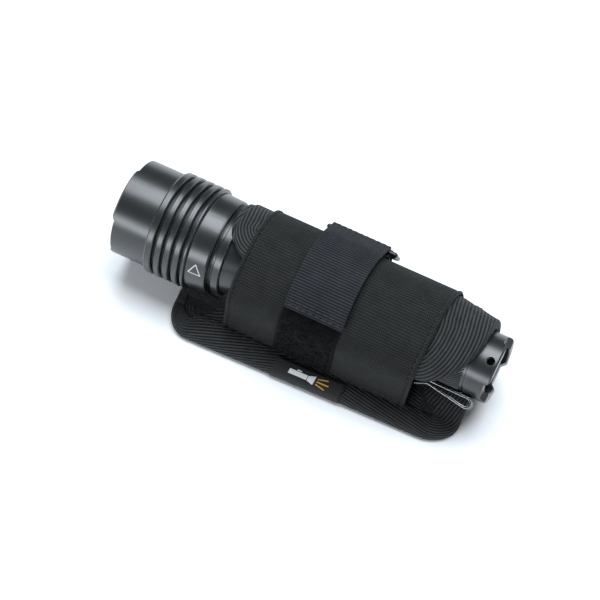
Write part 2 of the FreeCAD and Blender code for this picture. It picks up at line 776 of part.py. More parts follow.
# ---- tail cap and switch ----
save("tail_cap", tail_cap())
x_spring = x_cell_end + 0.15
save("tail_spring", coil_spring(x_spring, x_board - layer_gap, spring_radius, spring_wire, spring_turns))
save("tail_board", tube(x_board, x_board + board_thickness, board_radius))
tail_ring_bore = tube_rear_radius - 3.3
save("tail_retaining_ring", tube(x_board - 1.2, x_board - touch_gap, tube_rear_radius, tail_ring_bore))
x_switch = x_board + board_thickness + touch_gap
x_switch_end = x_switch + switch_length
switch_bore = tube(x_switch + 0.3, x_switch_end, plunger_radius + slide_gap)
save("switch_body", tube(x_switch, x_switch_end, switch_radius).cut(switch_bore))

# ---- tail button ----
boot_front = x_end - crown_length - cap_wall + 0.6
boot_back = x_end - 1.6
boot_inside = boot_back - button_wall
save("tail_button", turned([(boot_front, button_radius - button_wall), (boot_front, button_radius),
                            (boot_back - 1.0, button_radius), (boot_back - 0.3, button_radius - 0.5),
                            (boot_back, button_radius - 1.6), (boot_back, 0), (boot_inside, 0),
                            (boot_inside, button_radius - button_wall)]))
x_pusher = x_switch_end + button_travel + 0.5
plunger = tube(x_switch + button_travel + 0.7, x_pusher, plunger_radius)
save("switch_pusher", plunger.fuse(tube(x_pusher, boot_inside - touch_gap, switch_radius)))

# ---- holster panel and binding ----
save("holster_pad", panel())
save("wing_binding", wing_binding())
save("flap_binding", flap_binding())

# ---- elastic band and loop strip ----
foot_y = -wing_reach + binding_width + slide_gap
foot_z = wing_height + pad_thickness / 2 + band_thickness / 2 + 0.35
over = band_path(band_radius, foot_y, foot_z, band_far_angle)
save("elastic_band", strip(over, band_thickness, x_band, x_band_end))
loop_foot_y = foot_y - (band_thickness + loop_thickness) / 2 - 2 * layer_gap
loop_path = band_path(loop_radius, loop_foot_y, foot_z + 0.3, loop_far_angle)
save("loop_strip", strip(loop_path, loop_thickness, x_strap, x_strap_end))

# ---- ring, tab and strap ----
save("strap_ring", strap_ring())
save("ring_tab", ring_tab())
strap_path, hook_path = strap_paths()
save("strap_end", strip(strap_path, webbing_thickness, x_strap, x_strap_end))
hook_film = hook_thickness - layer_gap
save("hook_patch", strip(hook_path, hook_film, x_strap + hook_margin, x_strap_end - hook_margin))

# ---- label folded over the wing's edge ----
label_fold = pad_thickness / 2 + binding_thickness + 2 * layer_gap + label_thickness / 2
label_top = wing_height + label_fold
label_path = [("arc", (-wing_reach, wing_height), label_fold, label_under_angle, 90.0),
              ("line", (-wing_reach, label_top), (-wing_reach + label_reach, label_top))]
x_label = strap_centre - label_lead
save("label", strip(label_path, label_thickness, x_label, x_label + label_length))

# ---- belt loop under the pad ----
x_belt = x_pocket + belt_loop_setback
x_belt_end = x_belt + belt_loop_length
base = Part.makeBox(belt_loop_length, belt_loop_width, belt_webbing, V(x_belt, belt_loop_side, 0))
posts = []
for x in (x_belt, x_belt_end - belt_webbing):
    foot = V(x, belt_loop_side, 0)
    posts.append(Part.makeBox(belt_webbing, belt_loop_width, axis_height - wrap_radius, foot))
clear_of_pad = strip(pad_path(wrap_radius), pad_thickness + 2 * layer_gap, x_belt - 5, x_belt_end + 5)
belt_loop = base.fuse(posts).cut(clear_of_pad)
save("belt_loop", min(belt_loop.Solids, key=lambda s: s.BoundBox.ZMin))

os.makedirs("parts", exist_ok=True)
for name, shape in PARTS.items():
    shape.exportStep("parts/" + name + ".step")
print(len(PARTS), "nodes; length", round(overall_length, 2), "axis height", round(axis_height, 2))
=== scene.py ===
# %% [markdown]
# # A tactical flashlight in its belt holster
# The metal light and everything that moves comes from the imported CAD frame. This lesson adds what CAD
# leaves plain: sewn cloth, webbing, pile, knurling, and a finish for every surface. All sizes are in
# metres, in the same frame as the CAD model: +X runs from the lens to the tail, +Z is up.

# %% Load the frame
import bmesh
import bpy
import json
import math
import random
import numpy as np
from mathutils import Matrix, Vector
from mathutils.bvhtree import BVHTree


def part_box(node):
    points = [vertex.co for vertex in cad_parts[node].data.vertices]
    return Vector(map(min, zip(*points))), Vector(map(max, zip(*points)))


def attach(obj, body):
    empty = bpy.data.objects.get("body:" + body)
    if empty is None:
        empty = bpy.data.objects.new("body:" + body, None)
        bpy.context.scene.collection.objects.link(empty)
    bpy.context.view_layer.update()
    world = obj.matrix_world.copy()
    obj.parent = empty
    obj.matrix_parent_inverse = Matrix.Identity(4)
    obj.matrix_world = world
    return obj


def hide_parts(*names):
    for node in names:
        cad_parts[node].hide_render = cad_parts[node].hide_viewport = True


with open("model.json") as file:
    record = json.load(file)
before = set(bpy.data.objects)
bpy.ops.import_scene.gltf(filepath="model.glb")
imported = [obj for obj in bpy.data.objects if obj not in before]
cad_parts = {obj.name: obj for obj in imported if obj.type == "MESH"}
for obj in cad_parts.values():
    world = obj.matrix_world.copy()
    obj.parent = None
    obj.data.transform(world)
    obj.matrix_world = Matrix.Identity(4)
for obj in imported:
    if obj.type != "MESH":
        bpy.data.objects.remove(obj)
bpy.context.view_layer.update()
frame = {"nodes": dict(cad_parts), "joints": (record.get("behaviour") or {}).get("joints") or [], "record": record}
mm = 0.001

# %% A few helpers
def placed(name, data):
    """A new object in the scene."""
    made = bpy.data.objects.new(name, data)
    bpy.context.scene.collection.objects.link(made)
    return made


def direction(angle):
    """The cosine and the sine of an angle in degrees."""
    return math.cos(math.radians(angle)), math.sin(math.radians(angle))


def within(value):
    """A value held between 0 and 1."""
    return min(1.0, max(0.0, value))


def outward(bm):
    """Turns every face of a shape to its outside."""
    bmesh.ops.recalc_face_normals(bm, faces=bm.faces)


print("helpers ready, up is", [round(c, 3) for c in direction(90)])

# %% [markdown]
# ## Where things are
# Nothing is placed by eye. The light's axis, the ends of each layer and the wing's edge are all read
# from the boxes of the CAD nodes, so this file follows the design when a size changes.

# %% Read the main places from the frame
cap_low, cap_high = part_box("tail_cap")
pad_low, pad_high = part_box("holster_pad")
band_low, band_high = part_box("elastic_band")
strap_low, strap_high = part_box("strap_end")
axis_z = (cap_low.z + cap_high.z) / 2
half_length = cap_high.x
cap_radius = (cap_high.z - cap_low.z) / 2
print("axis height", round(axis_z, 4), "half length", round(half_length, 4))

# %% [markdown]
# ## Camera
# A product photographer stands over the table with a long lens, so that round things stay round. The
# camera looks down at 62 degrees, turned 27 degrees from square, from a little under a metre away.

# %% Make the camera
view_turn = math.radians(27.27)
view_tilt = math.radians(61.83)
view_distance = 0.9233
away = Vector((math.sin(view_turn) * math.cos(view_tilt), -math.cos(view_turn) * math.cos(view_tilt),
               math.sin(view_tilt)))
looked_at = Vector((-2.40 * mm, -6.11 * mm, axis_z - 3 * mm))
camera_data = bpy.data.cameras.new("camera")
camera_data.sensor_width = 36
camera_data.lens = 137.9
camera_data.clip_start = 0.01
camera = placed("camera", camera_data)
camera.location = looked_at + away * view_distance
camera.rotation_euler = (-away).to_track_quat("-Z", "Y").to_euler()
bpy.context.scene.camera = camera
print("camera at", [round(c, 3) for c in camera.location])

# %% [markdown]
# ## Floor and light
# Black objects are lit by what they reflect. The sky is white only for the camera and dim for
# everything else, which keeps the blacks deep. The white floor lights the undersides. A large soft box
# behind and above gives the long grey sheen on the barrel, and a smaller one fills the near side.

# %% Floor, world and lamps
def shader(name):
    """A new node material, its tree and its Principled shader."""
    made = bpy.data.materials.new(name)
    made.use_nodes = True
    return made, made.node_tree, made.node_tree.nodes["Principled BSDF"]


floor_mesh = bmesh.new()
bmesh.ops.create_grid(floor_mesh, x_segments=1, y_segments=1, size=6)
floor_data = bpy.data.meshes.new("floor")
floor_mesh.to_mesh(floor_data)
floor_mesh.free()
floor = placed("floor", floor_data)
floor_paint, tree, principled = shader("floor_paint")
principled.inputs["Base Color"].default_value = (0.93, 0.935, 0.94, 1)
principled.inputs["Roughness"].default_value = 0.9
floor_data.materials.append(floor_paint)

world = bpy.data.worlds.new("studio")
world.use_nodes = True
sky = world.node_tree.nodes["Background"]
sky.inputs["Color"].default_value = (0.97, 0.985, 1.0, 1)
seen = world.node_tree.nodes.new("ShaderNodeLightPath").outputs["Is Camera Ray"]
brightness = world.node_tree.nodes.new("ShaderNodeMath")
brightness.operation = "MULTIPLY_ADD"
world.node_tree.links.new(seen, brightness.inputs[0])
brightness.inputs[1].default_value = 0.82
brightness.inputs[2].default_value = 0.18
world.node_tree.links.new(brightness.outputs[0], sky.inputs["Strength"])
bpy.context.scene.world = world
bpy.context.scene.view_settings.view_transform = "Standard"


def lamp(name, place, width, length, power):
    """A rectangular soft lamp that faces the origin, a little bluer than white."""
    data = bpy.data.lights.new(name, "AREA")
    data.shape = "RECTANGLE"
    data.size = width
    data.size_y = length
    data.energy = power
    data.color = (0.90, 0.97, 1.04)
    made = placed(name, data)
    made.location = place
    made.rotation_euler = Vector(place).to_track_quat("Z", "Y").to_euler()


lamp("overhead", (0.0, 0.26, 0.90), 0.95, 0.62, 15.0)
lamp("front", (-0.35, -1.1, 0.42), 0.8, 0.35, 8.0)

# %% [markdown]
# ## Shared effects
# Five effects turn up on many surfaces: parallel ribs, a fine weave, a blotchy change of shade, pale
# flecks of lint, and a rubbed edge. Each is a node group, built once. A group only puts out a height
# or a mask; the shader itself stays in the material.

# %% A small kit for node trees
def link(tree, socket, value):
    """Fills one input: a value that is a socket is linked, any other is a constant."""
    if isinstance(value, bpy.types.NodeSocket):
        tree.links.new(value, socket)
    else:
        socket.default_value = value


def fill(tree, made, **values):
    """Fills a node's inputs; the arguments are socket names, with _ for a space."""
    for key, value in values.items():
        link(tree, made.inputs[key.replace("_", " ")], value)
    return made


def add(tree, kind, **values):
    """A new node; in0, in1 and so on fill its inputs by number, any other name is a property."""
    made = tree.nodes.new(kind)
    for key, value in values.items():
        if key.startswith("in"):
            link(tree, made.inputs[int(key[2:])], value)
        else:
            setattr(made, key, value)
    return made


def math_node(tree, operation, *inputs):
    """The output of one Math node."""
    return add(tree, "ShaderNodeMath", operation=operation,
               **{"in%d" % k: v for k, v in enumerate(inputs)}).outputs[0]


def group(name, inputs, outputs):
    """An empty node group with float or vector sockets; returns the tree and its two end nodes."""
    tree = bpy.data.node_groups.new(name, "ShaderNodeTree")
    for label, kind, value in inputs:
        socket = tree.interface.new_socket(name=label, in_out="INPUT", socket_type="NodeSocket" + kind)
        if value is not None:
            socket.default_value = value
    for label in outputs:
        tree.interface.new_socket(name=label, in_out="OUTPUT", socket_type="NodeSocketFloat")
    print("group", name, "puts out", outputs)
    return tree, tree.nodes.new("NodeGroupInput"), tree.nodes.new("NodeGroupOutput")


def use(tree, group_tree, **values):
    """One use of a node group; the arguments are socket names, with _ for a space."""
    made = tree.nodes.new("ShaderNodeGroup")
    made.node_tree = group_tree
    return fill(tree, made, **values)


print("node kit ready")

# %% Ribs: a soft wave at a pitch
ribs_group, given, out = group("ribs", [("Place", "Vector", None), ("Pitch", "Float", 0.001)], ["Height"])
parts = add(ribs_group, "ShaderNodeSeparateXYZ", in0=given.outputs["Place"])
turns = math_node(ribs_group, "DIVIDE", parts.outputs[1], given.outputs["Pitch"])
wave = math_node(ribs_group, "COSINE", math_node(ribs_group, "MULTIPLY", turns, 2 * math.pi))
height = math_node(ribs_group, "MULTIPLY_ADD", wave, 0.5, 0.5)
ribs_group.links.new(height, out.inputs["Height"])

# %% Weave: yarns that pass over and under each other
weave_group, given, out = group("weave", [("Place", "Vector", None), ("Pitch X", "Float", 0.001),
                                          ("Pitch Y", "Float", 0.001)], ["Height"])
parts = add(weave_group, "ShaderNodeSeparateXYZ", in0=given.outputs["Place"])
waves = []
for axis in (0, 1):
    turns = math_node(weave_group, "DIVIDE", parts.outputs[axis], given.outputs[1 + axis])
    waves.append(math_node(weave_group, "SINE", math_node(weave_group, "MULTIPLY", turns, 2 * math.pi)))
over = math_node(weave_group, "MULTIPLY", waves[0], waves[1])
height = math_node(weave_group, "MULTIPLY_ADD", over, 0.5, 0.5)
weave_group.links.new(height, out.inputs["Height"])

# %% Blotches: a slow change of shade, and a fine grain on top
blotch_group, given, out = group("blotches", [("Place", "Vector", None), ("Size", "Float", 0.004),
                                              ("Grain", "Float", 0.0004)], ["Slow", "Fine"])
for label, size in (("Slow", "Size"), ("Fine", "Grain")):
    scale = math_node(blotch_group, "DIVIDE", 1.0, given.outputs[size])
    noise = add(blotch_group, "ShaderNodeTexNoise", in0=given.outputs["Place"], in2=scale, in3=3.0,
                in4=0.6)
    blotch_group.links.new(noise.outputs[0], out.inputs[label])

# %% Flecks: a few pale specks of lint
fleck_group, given, out = group("flecks", [("Place", "Vector", None), ("Spacing", "Float", 0.003),
                                           ("Amount", "Float", 0.12)], ["Mask"])
scale = math_node(fleck_group, "DIVIDE", 1.0, given.outputs["Spacing"])
cells = add(fleck_group, "ShaderNodeTexVoronoi", in0=given.outputs["Place"], in2=scale)
mask = math_node(fleck_group, "LESS_THAN", cells.outputs["Distance"], given.outputs["Amount"])
fleck_group.links.new(mask, out.inputs["Mask"])

# %% Edge wear: where a rounded edge would turn away from the face
wear_group, given, out = group("edge wear", [("Radius", "Float", 0.0003),
                                             ("Strength", "Float", 6.0)], ["Mask"])
rounded_normal = add(wear_group, "ShaderNodeBevel", samples=4, in0=given.outputs["Radius"])
true_normal = add(wear_group, "ShaderNodeNewGeometry").outputs["Normal"]
alike = add(wear_group, "ShaderNodeVectorMath", operation="DOT_PRODUCT", in0=rounded_normal.outputs[0],
            in1=true_normal).outputs["Value"]
turned = math_node(wear_group, "SUBTRACT", 0.97, alike)
mask = math_node(wear_group, "MULTIPLY", turned, given.outputs["Strength"])
clamped = math_node(wear_group, "MINIMUM", math_node(wear_group, "MAXIMUM", mask, 0.0), 1.0)
wear_group.links.new(clamped, out.inputs["Mask"])

# %% [markdown]
# ## Cloth finishes
# Every cloth here is black polyester, yet each reads differently: its rib, its yarn and how it holds
# light. One function makes them all. Its colour is painted darker in the valleys of the rib and the
# weave and paler on their crests: painted shade. The pattern follows the cloth's own UV map, which
# holds distances in metres on the flat cloth, so it bends with the cloth and never stretches.

# %% The cloth recipe
materials = {}


def shade(value, tint=(1.0, 1.0, 1.0)):
    """A grey with a tint, as a colour."""
    return (value * tint[0], value * tint[1], value * tint[2], 1)


def mixed(tree, factor, low, high):
    """A colour between two, by a mask."""
    return add(tree, "ShaderNodeMix", data_type="RGBA", in0=factor, in6=low, in7=high).outputs[2]


def cloth(name, valley_shade, light, tint, rib, yarn, rib_depth, yarn_depth, roughness, sheen, fleck=0.0):
    """A ribbed or woven cloth, painted darker in the valleys of rib and weave as painted shade. rib is the rib's
    pitch, yarn the weave's two pitches, all in millimetres; the first colour is the painted shade at the bottom of
    the valleys, the second the colour on the crests.
    """
    rib, yarn_x, yarn_y = rib * mm, yarn[0] * mm, yarn[1] * mm
    rib_depth, yarn_depth = rib_depth * mm, yarn_depth * mm
    made, tree, principled = shader(name)
    place = add(tree, "ShaderNodeUVMap", uv_map="flat").outputs[0]
    ribs = use(tree, ribs_group, Place=place, Pitch=rib).outputs[0]
    weave = use(tree, weave_group, Place=place, Pitch_X=yarn_x, Pitch_Y=yarn_y).outputs[0]
    blotches = use(tree, blotch_group, Place=place, Size=0.007, Grain=0.0006)
    relief = math_node(tree, "ADD", math_node(tree, "MULTIPLY", ribs, rib_depth),
                       math_node(tree, "MULTIPLY", weave, yarn_depth))
    grain = math_node(tree, "MULTIPLY", blotches.outputs["Fine"], yarn_depth)
    bump = add(tree, "ShaderNodeBump", in0=1.0, in1=1.0)
    fill(tree, bump, Height=math_node(tree, "ADD", relief, grain))
    share = rib_depth / (rib_depth + yarn_depth)
    # The rib and weave heights also set the colour: darker towards their valleys, as painted shade. The blotches
    # then vary the tone at random.
    painted_shade_and_tone = math_node(tree, "ADD", math_node(tree, "MULTIPLY", ribs, share),
                    math_node(tree, "MULTIPLY", weave, 1 - share))
    painted_shade_and_tone = math_node(tree, "MULTIPLY", painted_shade_and_tone, math_node(tree, "ADD", blotches.outputs["Fine"], 0.5))
    painted_shade_and_tone = math_node(tree, "MULTIPLY", painted_shade_and_tone, math_node(tree, "ADD", blotches.outputs["Slow"], 0.5))
    colour = mixed(tree, painted_shade_and_tone, shade(valley_shade, tint), shade(light, tint))
    if fleck > 0:
        specks = use(tree, fleck_group, Place=place, Spacing=0.0028, Amount=fleck).outputs[0]
        colour = mixed(tree, math_node(tree, "MULTIPLY", specks, 0.4), colour, shade(0.10, tint))
    fill(tree, principled, Base_Color=colour, Normal=bump.outputs[0], Roughness=roughness,
         Specular_IOR_Level=0.12, Sheen_Weight=sheen, Sheen_Roughness=0.45)
    materials[name] = made


print("cloth recipe ready")

# %% The holster's cloths
green_grey = (0.95, 1.0, 0.96)
blue_grey = (0.86, 0.95, 1.12)
neutral = (0.97, 1.0, 1.02)
# The first two numbers of each cloth are the painted shade in its valleys and the colour on its crests.
cloth("pad_fabric", 0.001, 0.050, neutral, 1.45, (0.55, 0.9), 0.24, 0.05, 0.8, 0.06)
cloth("binding_tape", 0.001, 0.056, neutral, 1.45, (0.55, 0.9), 0.28, 0.05, 0.75, 0.06)
cloth("elastic_knit", 0.001, 0.030, green_grey, 1.2, (1.1, 1.2), 0.07, 0.10, 0.85, 0.06, fleck=0.06)
cloth("loop_pile", 0.0012, 0.005, neutral, 2.3, (0.5, 0.6), 0.05, 0.12, 0.95, 0.03)
cloth("strap_webbing", 0.0012, 0.034, blue_grey, 1.15, (0.8, 1.15), 0.05, 0.012, 0.7, 0.06)
cloth("hook_tape", 0.004, 0.012, neutral, 1.5, (1.5, 1.5), 0.03, 0.05, 0.5, 0.05)
cloth("label_satin", 0.016, 0.028, neutral, 0.3, (0.3, 0.3), 0.02, 0.02, 0.45, 0.10)
print("cloths", len(materials))

# %% [markdown]
# ## Hard finishes
# Anodised aluminium is black dye in a glassy oxide over bright metal: a dark, slightly rough coat with
# soft reflections. Plastics, rubber and the small metal parts share one recipe with other numbers. The
# grain follows Object coordinates, because these parts are not cloth.

# %% The recipe for hard surfaces
def hard(name, colour, roughness, metallic=0.0, grain=0.3 * mm, depth=0.004 * mm, coat=0.0, spread=0.12,
         specular=0.5, wear=None, edge=(0.20, 0.21, 0.21)):
    """A solid surface with a fine grain, an uneven gloss, a slight change of shade and worn edges."""
    made, tree, principled = shader(name)
    place = add(tree, "ShaderNodeTexCoord").outputs["Object"]
    blotches = use(tree, blotch_group, Place=place, Size=12 * mm, Grain=grain)
    bump = add(tree, "ShaderNodeBump", in0=1.0, in1=1.0)
    fill(tree, bump, Height=math_node(tree, "MULTIPLY", blotches.outputs["Fine"], depth))
    low = tuple(c * (1 - spread) for c in colour) + (1,)
    high = tuple(c * (1 + spread) for c in colour) + (1,)
    shade_now = mixed(tree, blotches.outputs["Slow"], low, high)
    if wear:
        rubbed = use(tree, wear_group, Radius=wear, Strength=5.0).outputs[0]
        patchy = math_node(tree, "ADD", blotches.outputs["Slow"], 0.45)
        shade_now = mixed(tree, math_node(tree, "MULTIPLY", rubbed, patchy), shade_now, edge + (1,))
    gloss = math_node(tree, "MULTIPLY_ADD", blotches.outputs["Slow"], spread, roughness - spread / 2)
    fill(tree, principled, Base_Color=shade_now, Normal=bump.outputs[0], Roughness=gloss, Metallic=metallic,
         Specular_IOR_Level=specular, Coat_Weight=coat, Coat_Roughness=0.25)
    materials[name] = made


print("recipe for hard surfaces ready")

# %% The light's finishes
hard("anodised_aluminium", (0.008, 0.0095, 0.010), 0.31, grain=0.12 * mm, depth=0.003 * mm, specular=0.75,
     wear=0.22 * mm)
hard("knurled_aluminium", (0.009, 0.0105, 0.011), 0.36, grain=0.12 * mm, depth=0.002 * mm, specular=0.75)
hard("seal_rubber", (0.012, 0.012, 0.012), 0.6)
hard("button_rubber", (0.016, 0.016, 0.017), 0.7, grain=0.25 * mm, depth=0.02 * mm)
hard("reflector_mirror", (0.86, 0.87, 0.88), 0.12, metallic=1.0, depth=0.0, spread=0.04)
hard("copper_board", (0.80, 0.80, 0.78), 0.5)
hard("led_phosphor", (0.90, 0.72, 0.12), 0.5)
hard("white_plastic", (0.75, 0.75, 0.73), 0.45)
hard("circuit_board", (0.02, 0.10, 0.05), 0.4, coat=0.4)
hard("ferrite", (0.03, 0.03, 0.03), 0.7)
hard("brass", (0.78, 0.57, 0.26), 0.28, metallic=1.0)
hard("spring_steel", (0.60, 0.60, 0.60), 0.25, metallic=1.0)
hard("clip_steel", (0.010, 0.010, 0.011), 0.30)
hard("cell_steel", (0.62, 0.62, 0.63), 0.3, metallic=1.0)
hard("cell_wrap", (0.02, 0.05, 0.12), 0.3, coat=0.5)
hard("switch_plastic", (0.03, 0.03, 0.03), 0.4)
hard("ring_enamel", (0.006, 0.006, 0.007), 0.34)
hard("bare_edge", (0.50, 0.51, 0.52), 0.35, metallic=1.0)
hard("laser_mark", (0.62, 0.63, 0.63), 0.6)
hard("amber_thread", (0.62, 0.36, 0.05), 0.7)
hard("white_thread", (0.78, 0.78, 0.77), 0.7)
hard("black_thread", (0.016, 0.017, 0.018), 0.6, grain=0.2 * mm, depth=0.02 * mm)

glass, tree, principled = shader("lens_glass")
fill(tree, principled, Base_Color=(0.95, 0.97, 0.98, 1), Roughness=0.02, Transmission_Weight=1.0, IOR=1.5)
materials["lens_glass"] = glass

for part in frame["record"]["subparts"]:
    mesh = frame["nodes"][part["node"]].data
    mesh.materials.clear()
    mesh.materials.append(materials[part["material_slot"]])
print("finishes", len(materials))

# %% [markdown]
# ## Cut flat, then wrap
# Real cloth is cut flat and then bent round the light, so these pieces are made the same way. A flat
# slab lies on the table with x along the light, y along the cloth's run and z through its thickness.
# A track, which is a chain of straight runs and arcs in the cross-section, then bends the slab. The
# flat x and y are kept as the UV map before the bend.

# %% Tracks through the cross-section
def polar(radius, angle, centre=None):
    """A point of the cross-section, (y, z), at an angle in degrees: 0 is +Y and 90 is up."""
    y, z = centre or (0.0, axis_z)
    c, d = direction(angle)
    return (y + radius * c, z + radius * d)


def track(runs, side=1.0):
    """Samples a chain of lines and arcs. Returns its length and a function (s, h) -> (y, z) beside it."""
    points = []
    for run in runs:
        if run[0] == "line":
            points += [run[1], run[2]]
        else:
            centre, radius, start, stop = run[1:]
            steps = max(2, int(abs(stop - start) / 2))
            points += [polar(radius, start + (stop - start) * k / steps, centre)
                       for k in range(steps + 1)]
    kept = [points[0]] + [b for a, b in zip(points, points[1:]) if math.dist(a, b) > 1e-7]
    line = np.array(kept)
    reach = np.concatenate([[0], np.cumsum(np.linalg.norm(np.diff(line, axis=0), axis=1))])
    slope = np.gradient(line, reach, axis=0)

    def at(s, h=0.0):
        y, z = np.interp(s, reach, line[:, 0]), np.interp(s, reach, line[:, 1])
        dy, dz = np.interp(s, reach, slope[:, 0]), np.interp(s, reach, slope[:, 1])
        size = math.hypot(dy, dz) * side
        beyond = min(0.0, s) + max(0.0, s - reach[-1])
        return (y - dz / size * h + dy * side / size * beyond, z + dy / size * h + dz * side / size * beyond)

    return float(reach[-1]), at


def plain(at):
    """A wrapping function for a piece whose cross-section is the same all along x."""
    return lambda x, s, h: (x, *at(s, h))


print("axis test", polar(cap_radius, 90))

# %% Slabs of cloth and the wrapping step
def slab(x0, x1, s0, s1, thick, columns, rows, rounding=0.0, base=0.0, rim_slot=0):
    """A closed flat slab of cloth from (x0, s0) to (x1, s1), its lower face at height base."""
    bm = bmesh.new()
    bmesh.ops.create_grid(bm, x_segments=columns, y_segments=rows, size=0.5)
    bmesh.ops.scale(bm, vec=(x1 - x0, s1 - s0, 1), verts=bm.verts)
    bmesh.ops.translate(bm, vec=((x0 + x1) / 2, (s0 + s1) / 2, base), verts=bm.verts)
    made = bmesh.ops.extrude_face_region(bm, geom=bm.faces[:], use_keep_orig=True)
    top = [v for v in made["geom"] if isinstance(v, bmesh.types.BMVert)]
    bmesh.ops.translate(bm, vec=(0, 0, thick), verts=top)
    outward(bm)
    if rounding > 0:
        rim = [e for e in bm.edges if e.calc_face_angle(0) > 1.0]
        made = bmesh.ops.bevel(bm, geom=rim, offset=rounding, offset_type="OFFSET", affect="EDGES",
                               segments=2, profile=0.5, material=-1)
        for face in made["faces"]:
            face.material_index = rim_slot
    return bm


def wrap(bm, place):
    """Keeps the flat shape as the UV map, then bends every vertex into place."""
    flat = bm.loops.layers.uv.new("flat")
    for face in bm.faces:
        for loop in face.loops:
            loop[flat].uv = (loop.vert.co.x, loop.vert.co.y)
    for vert in bm.verts:
        vert.co = place(*vert.co)


def finished(name, bm, slots, body, smooth=True):
    """Turns a bmesh into an object that rides on a body. slots names one material or several."""
    mesh = bpy.data.meshes.new(name)
    for face in bm.faces:
        face.smooth = smooth
    bm.to_mesh(mesh)
    bm.free()
    for material_name in (slots if isinstance(slots, (list, tuple)) else [slots]):
        mesh.materials.append(materials[material_name])
    made = placed(name, mesh)
    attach(made, body)
    print(name, len(mesh.polygons), "faces")
    return made


print("slabs can be cut, wrapped and finished")

# %% [markdown]
# ## The padded wrap
# The holster's body is one foam-filled panel. It starts as a flat wing on the near side, dips under the
# light, wraps round the far side and ends as a flap over the top. At the tail it narrows to hug the
# tail cap. Two tracks, one for the barrel and one for the tail, are blended along x.

# %% The panel's track
pad_thick = 3.2 * mm
tape_thick = 0.45 * mm
wrap_radius = pad_high.y - pad_thick / 2
wing_reach = -pad_low.y
wing_z = pad_low.z + pad_thick / 2
flap_angle = 165.0
taper_start = band_high.x + 0.5 * mm
tail_radius = cap_radius + 2.4 * mm
wing_slant = 0.036
wing_run = 24 * mm
curl_rise = 0.5 * mm


def panel_runs(radius):
    """Wing, ramp, under the light, and round to the flap's edge, as lines and arcs."""
    low = axis_z - radius
    foot, head, bend = -19.5 * mm, -9.0 * mm, 9.0 * mm
    lift = math.atan2(low - wing_z, head - foot)
    back = bend * math.tan(lift / 2)
    dy, dz = math.cos(lift) * back, math.sin(lift) * back
    degrees = math.degrees(lift)
    return [("line", (-wing_reach, wing_z), (foot - back, wing_z)),
            ("arc", (foot - back, wing_z + bend), bend, -90.0, degrees - 90.0),
            ("line", (foot + dy, wing_z + dz), (head - dy, low - dz)),
            ("arc", (head + back, low - bend), bend, degrees + 90.0, 90.0),
            ("line", (head + back, low), (0.0, low)),
            ("arc", (0.0, axis_z), radius, -90.0, flap_angle)]


panel_length, panel_at = track(panel_runs(wrap_radius))
tail_length, tail_at = track(panel_runs(tail_radius))


def panel_place(x, s, h):
    """Wraps a point of the panel's flat pattern; h is towards the light, or up on the wing."""
    f = within((x - taper_start) / (pad_high.x - taper_start))
    f = f * f * (3 - 2 * f) * 0.5 + f * 0.5
    y0, z0 = panel_at(s, h)
    y1, z1 = tail_at(s * tail_length / panel_length, h)
    near = within(1 - s / wing_run)
    curl = curl_rise * near * (1 + math.sin(x / (19 * mm) + 1.0)) * 0.5
    return (x, y0 + (y1 - y0) * f + wing_slant * x * near, z0 + (z1 - z0) * f + curl)


print("panel is", round(panel_length, 4), "m from the wing's edge to the flap's edge")

# %% The panel's outline
wing_width = 18.6 * mm
pocket_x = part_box("flap_binding")[0].x + tape_thick - 1.0 * mm
left_x, right_x = pad_low.x, pad_high.x - 0.9 * mm
corner_near_left, corner_near_right = 11.0 * mm, 12.0 * mm
corner_flap_left, corner_flap_right, corner_flap_run = 10.0 * mm, 20.0 * mm, 28.0 * mm
corner_step = 3.0 * mm
hollow_step = 3.0 * mm
flap_slope = 0.206
slope_run, slope_full = 60 * mm, 14 * mm
slope_end = right_x - corner_flap_right


def bulge(radius, distance, run=None):
    """How far a round corner has drawn in, at a distance from its end; run is its size along that way."""
    run = run or radius
    d = min(max(distance, 0.0), run)
    return radius * (1 - math.sqrt(max(0.0, 1 - ((run - d) / run) ** 2)))


def slanted(x, s):
    """Shears the flap, whose free edge is cut at a slant: it is shortest at the -X end."""
    f = within((s - panel_length + slope_run) / (slope_run - slope_full))
    return s - f * f * (3 - 2 * f) * flap_slope * max(0.0, slope_end - x)


def left_edge(s):
    """The panel's -X edge at a distance s from the wing's edge."""
    if s <= wing_width:
        return left_x + max(bulge(corner_near_left, s), bulge(corner_step, wing_width - s))
    hollow = hollow_step - bulge(hollow_step, s - wing_width)
    return pocket_x - hollow + bulge(corner_flap_left, panel_length - s)


def right_edge(s):
    """The panel's +X edge at a distance s from the wing's edge."""
    return right_x - max(bulge(corner_near_right, s),
                         bulge(corner_flap_right, panel_length - s, corner_flap_run))


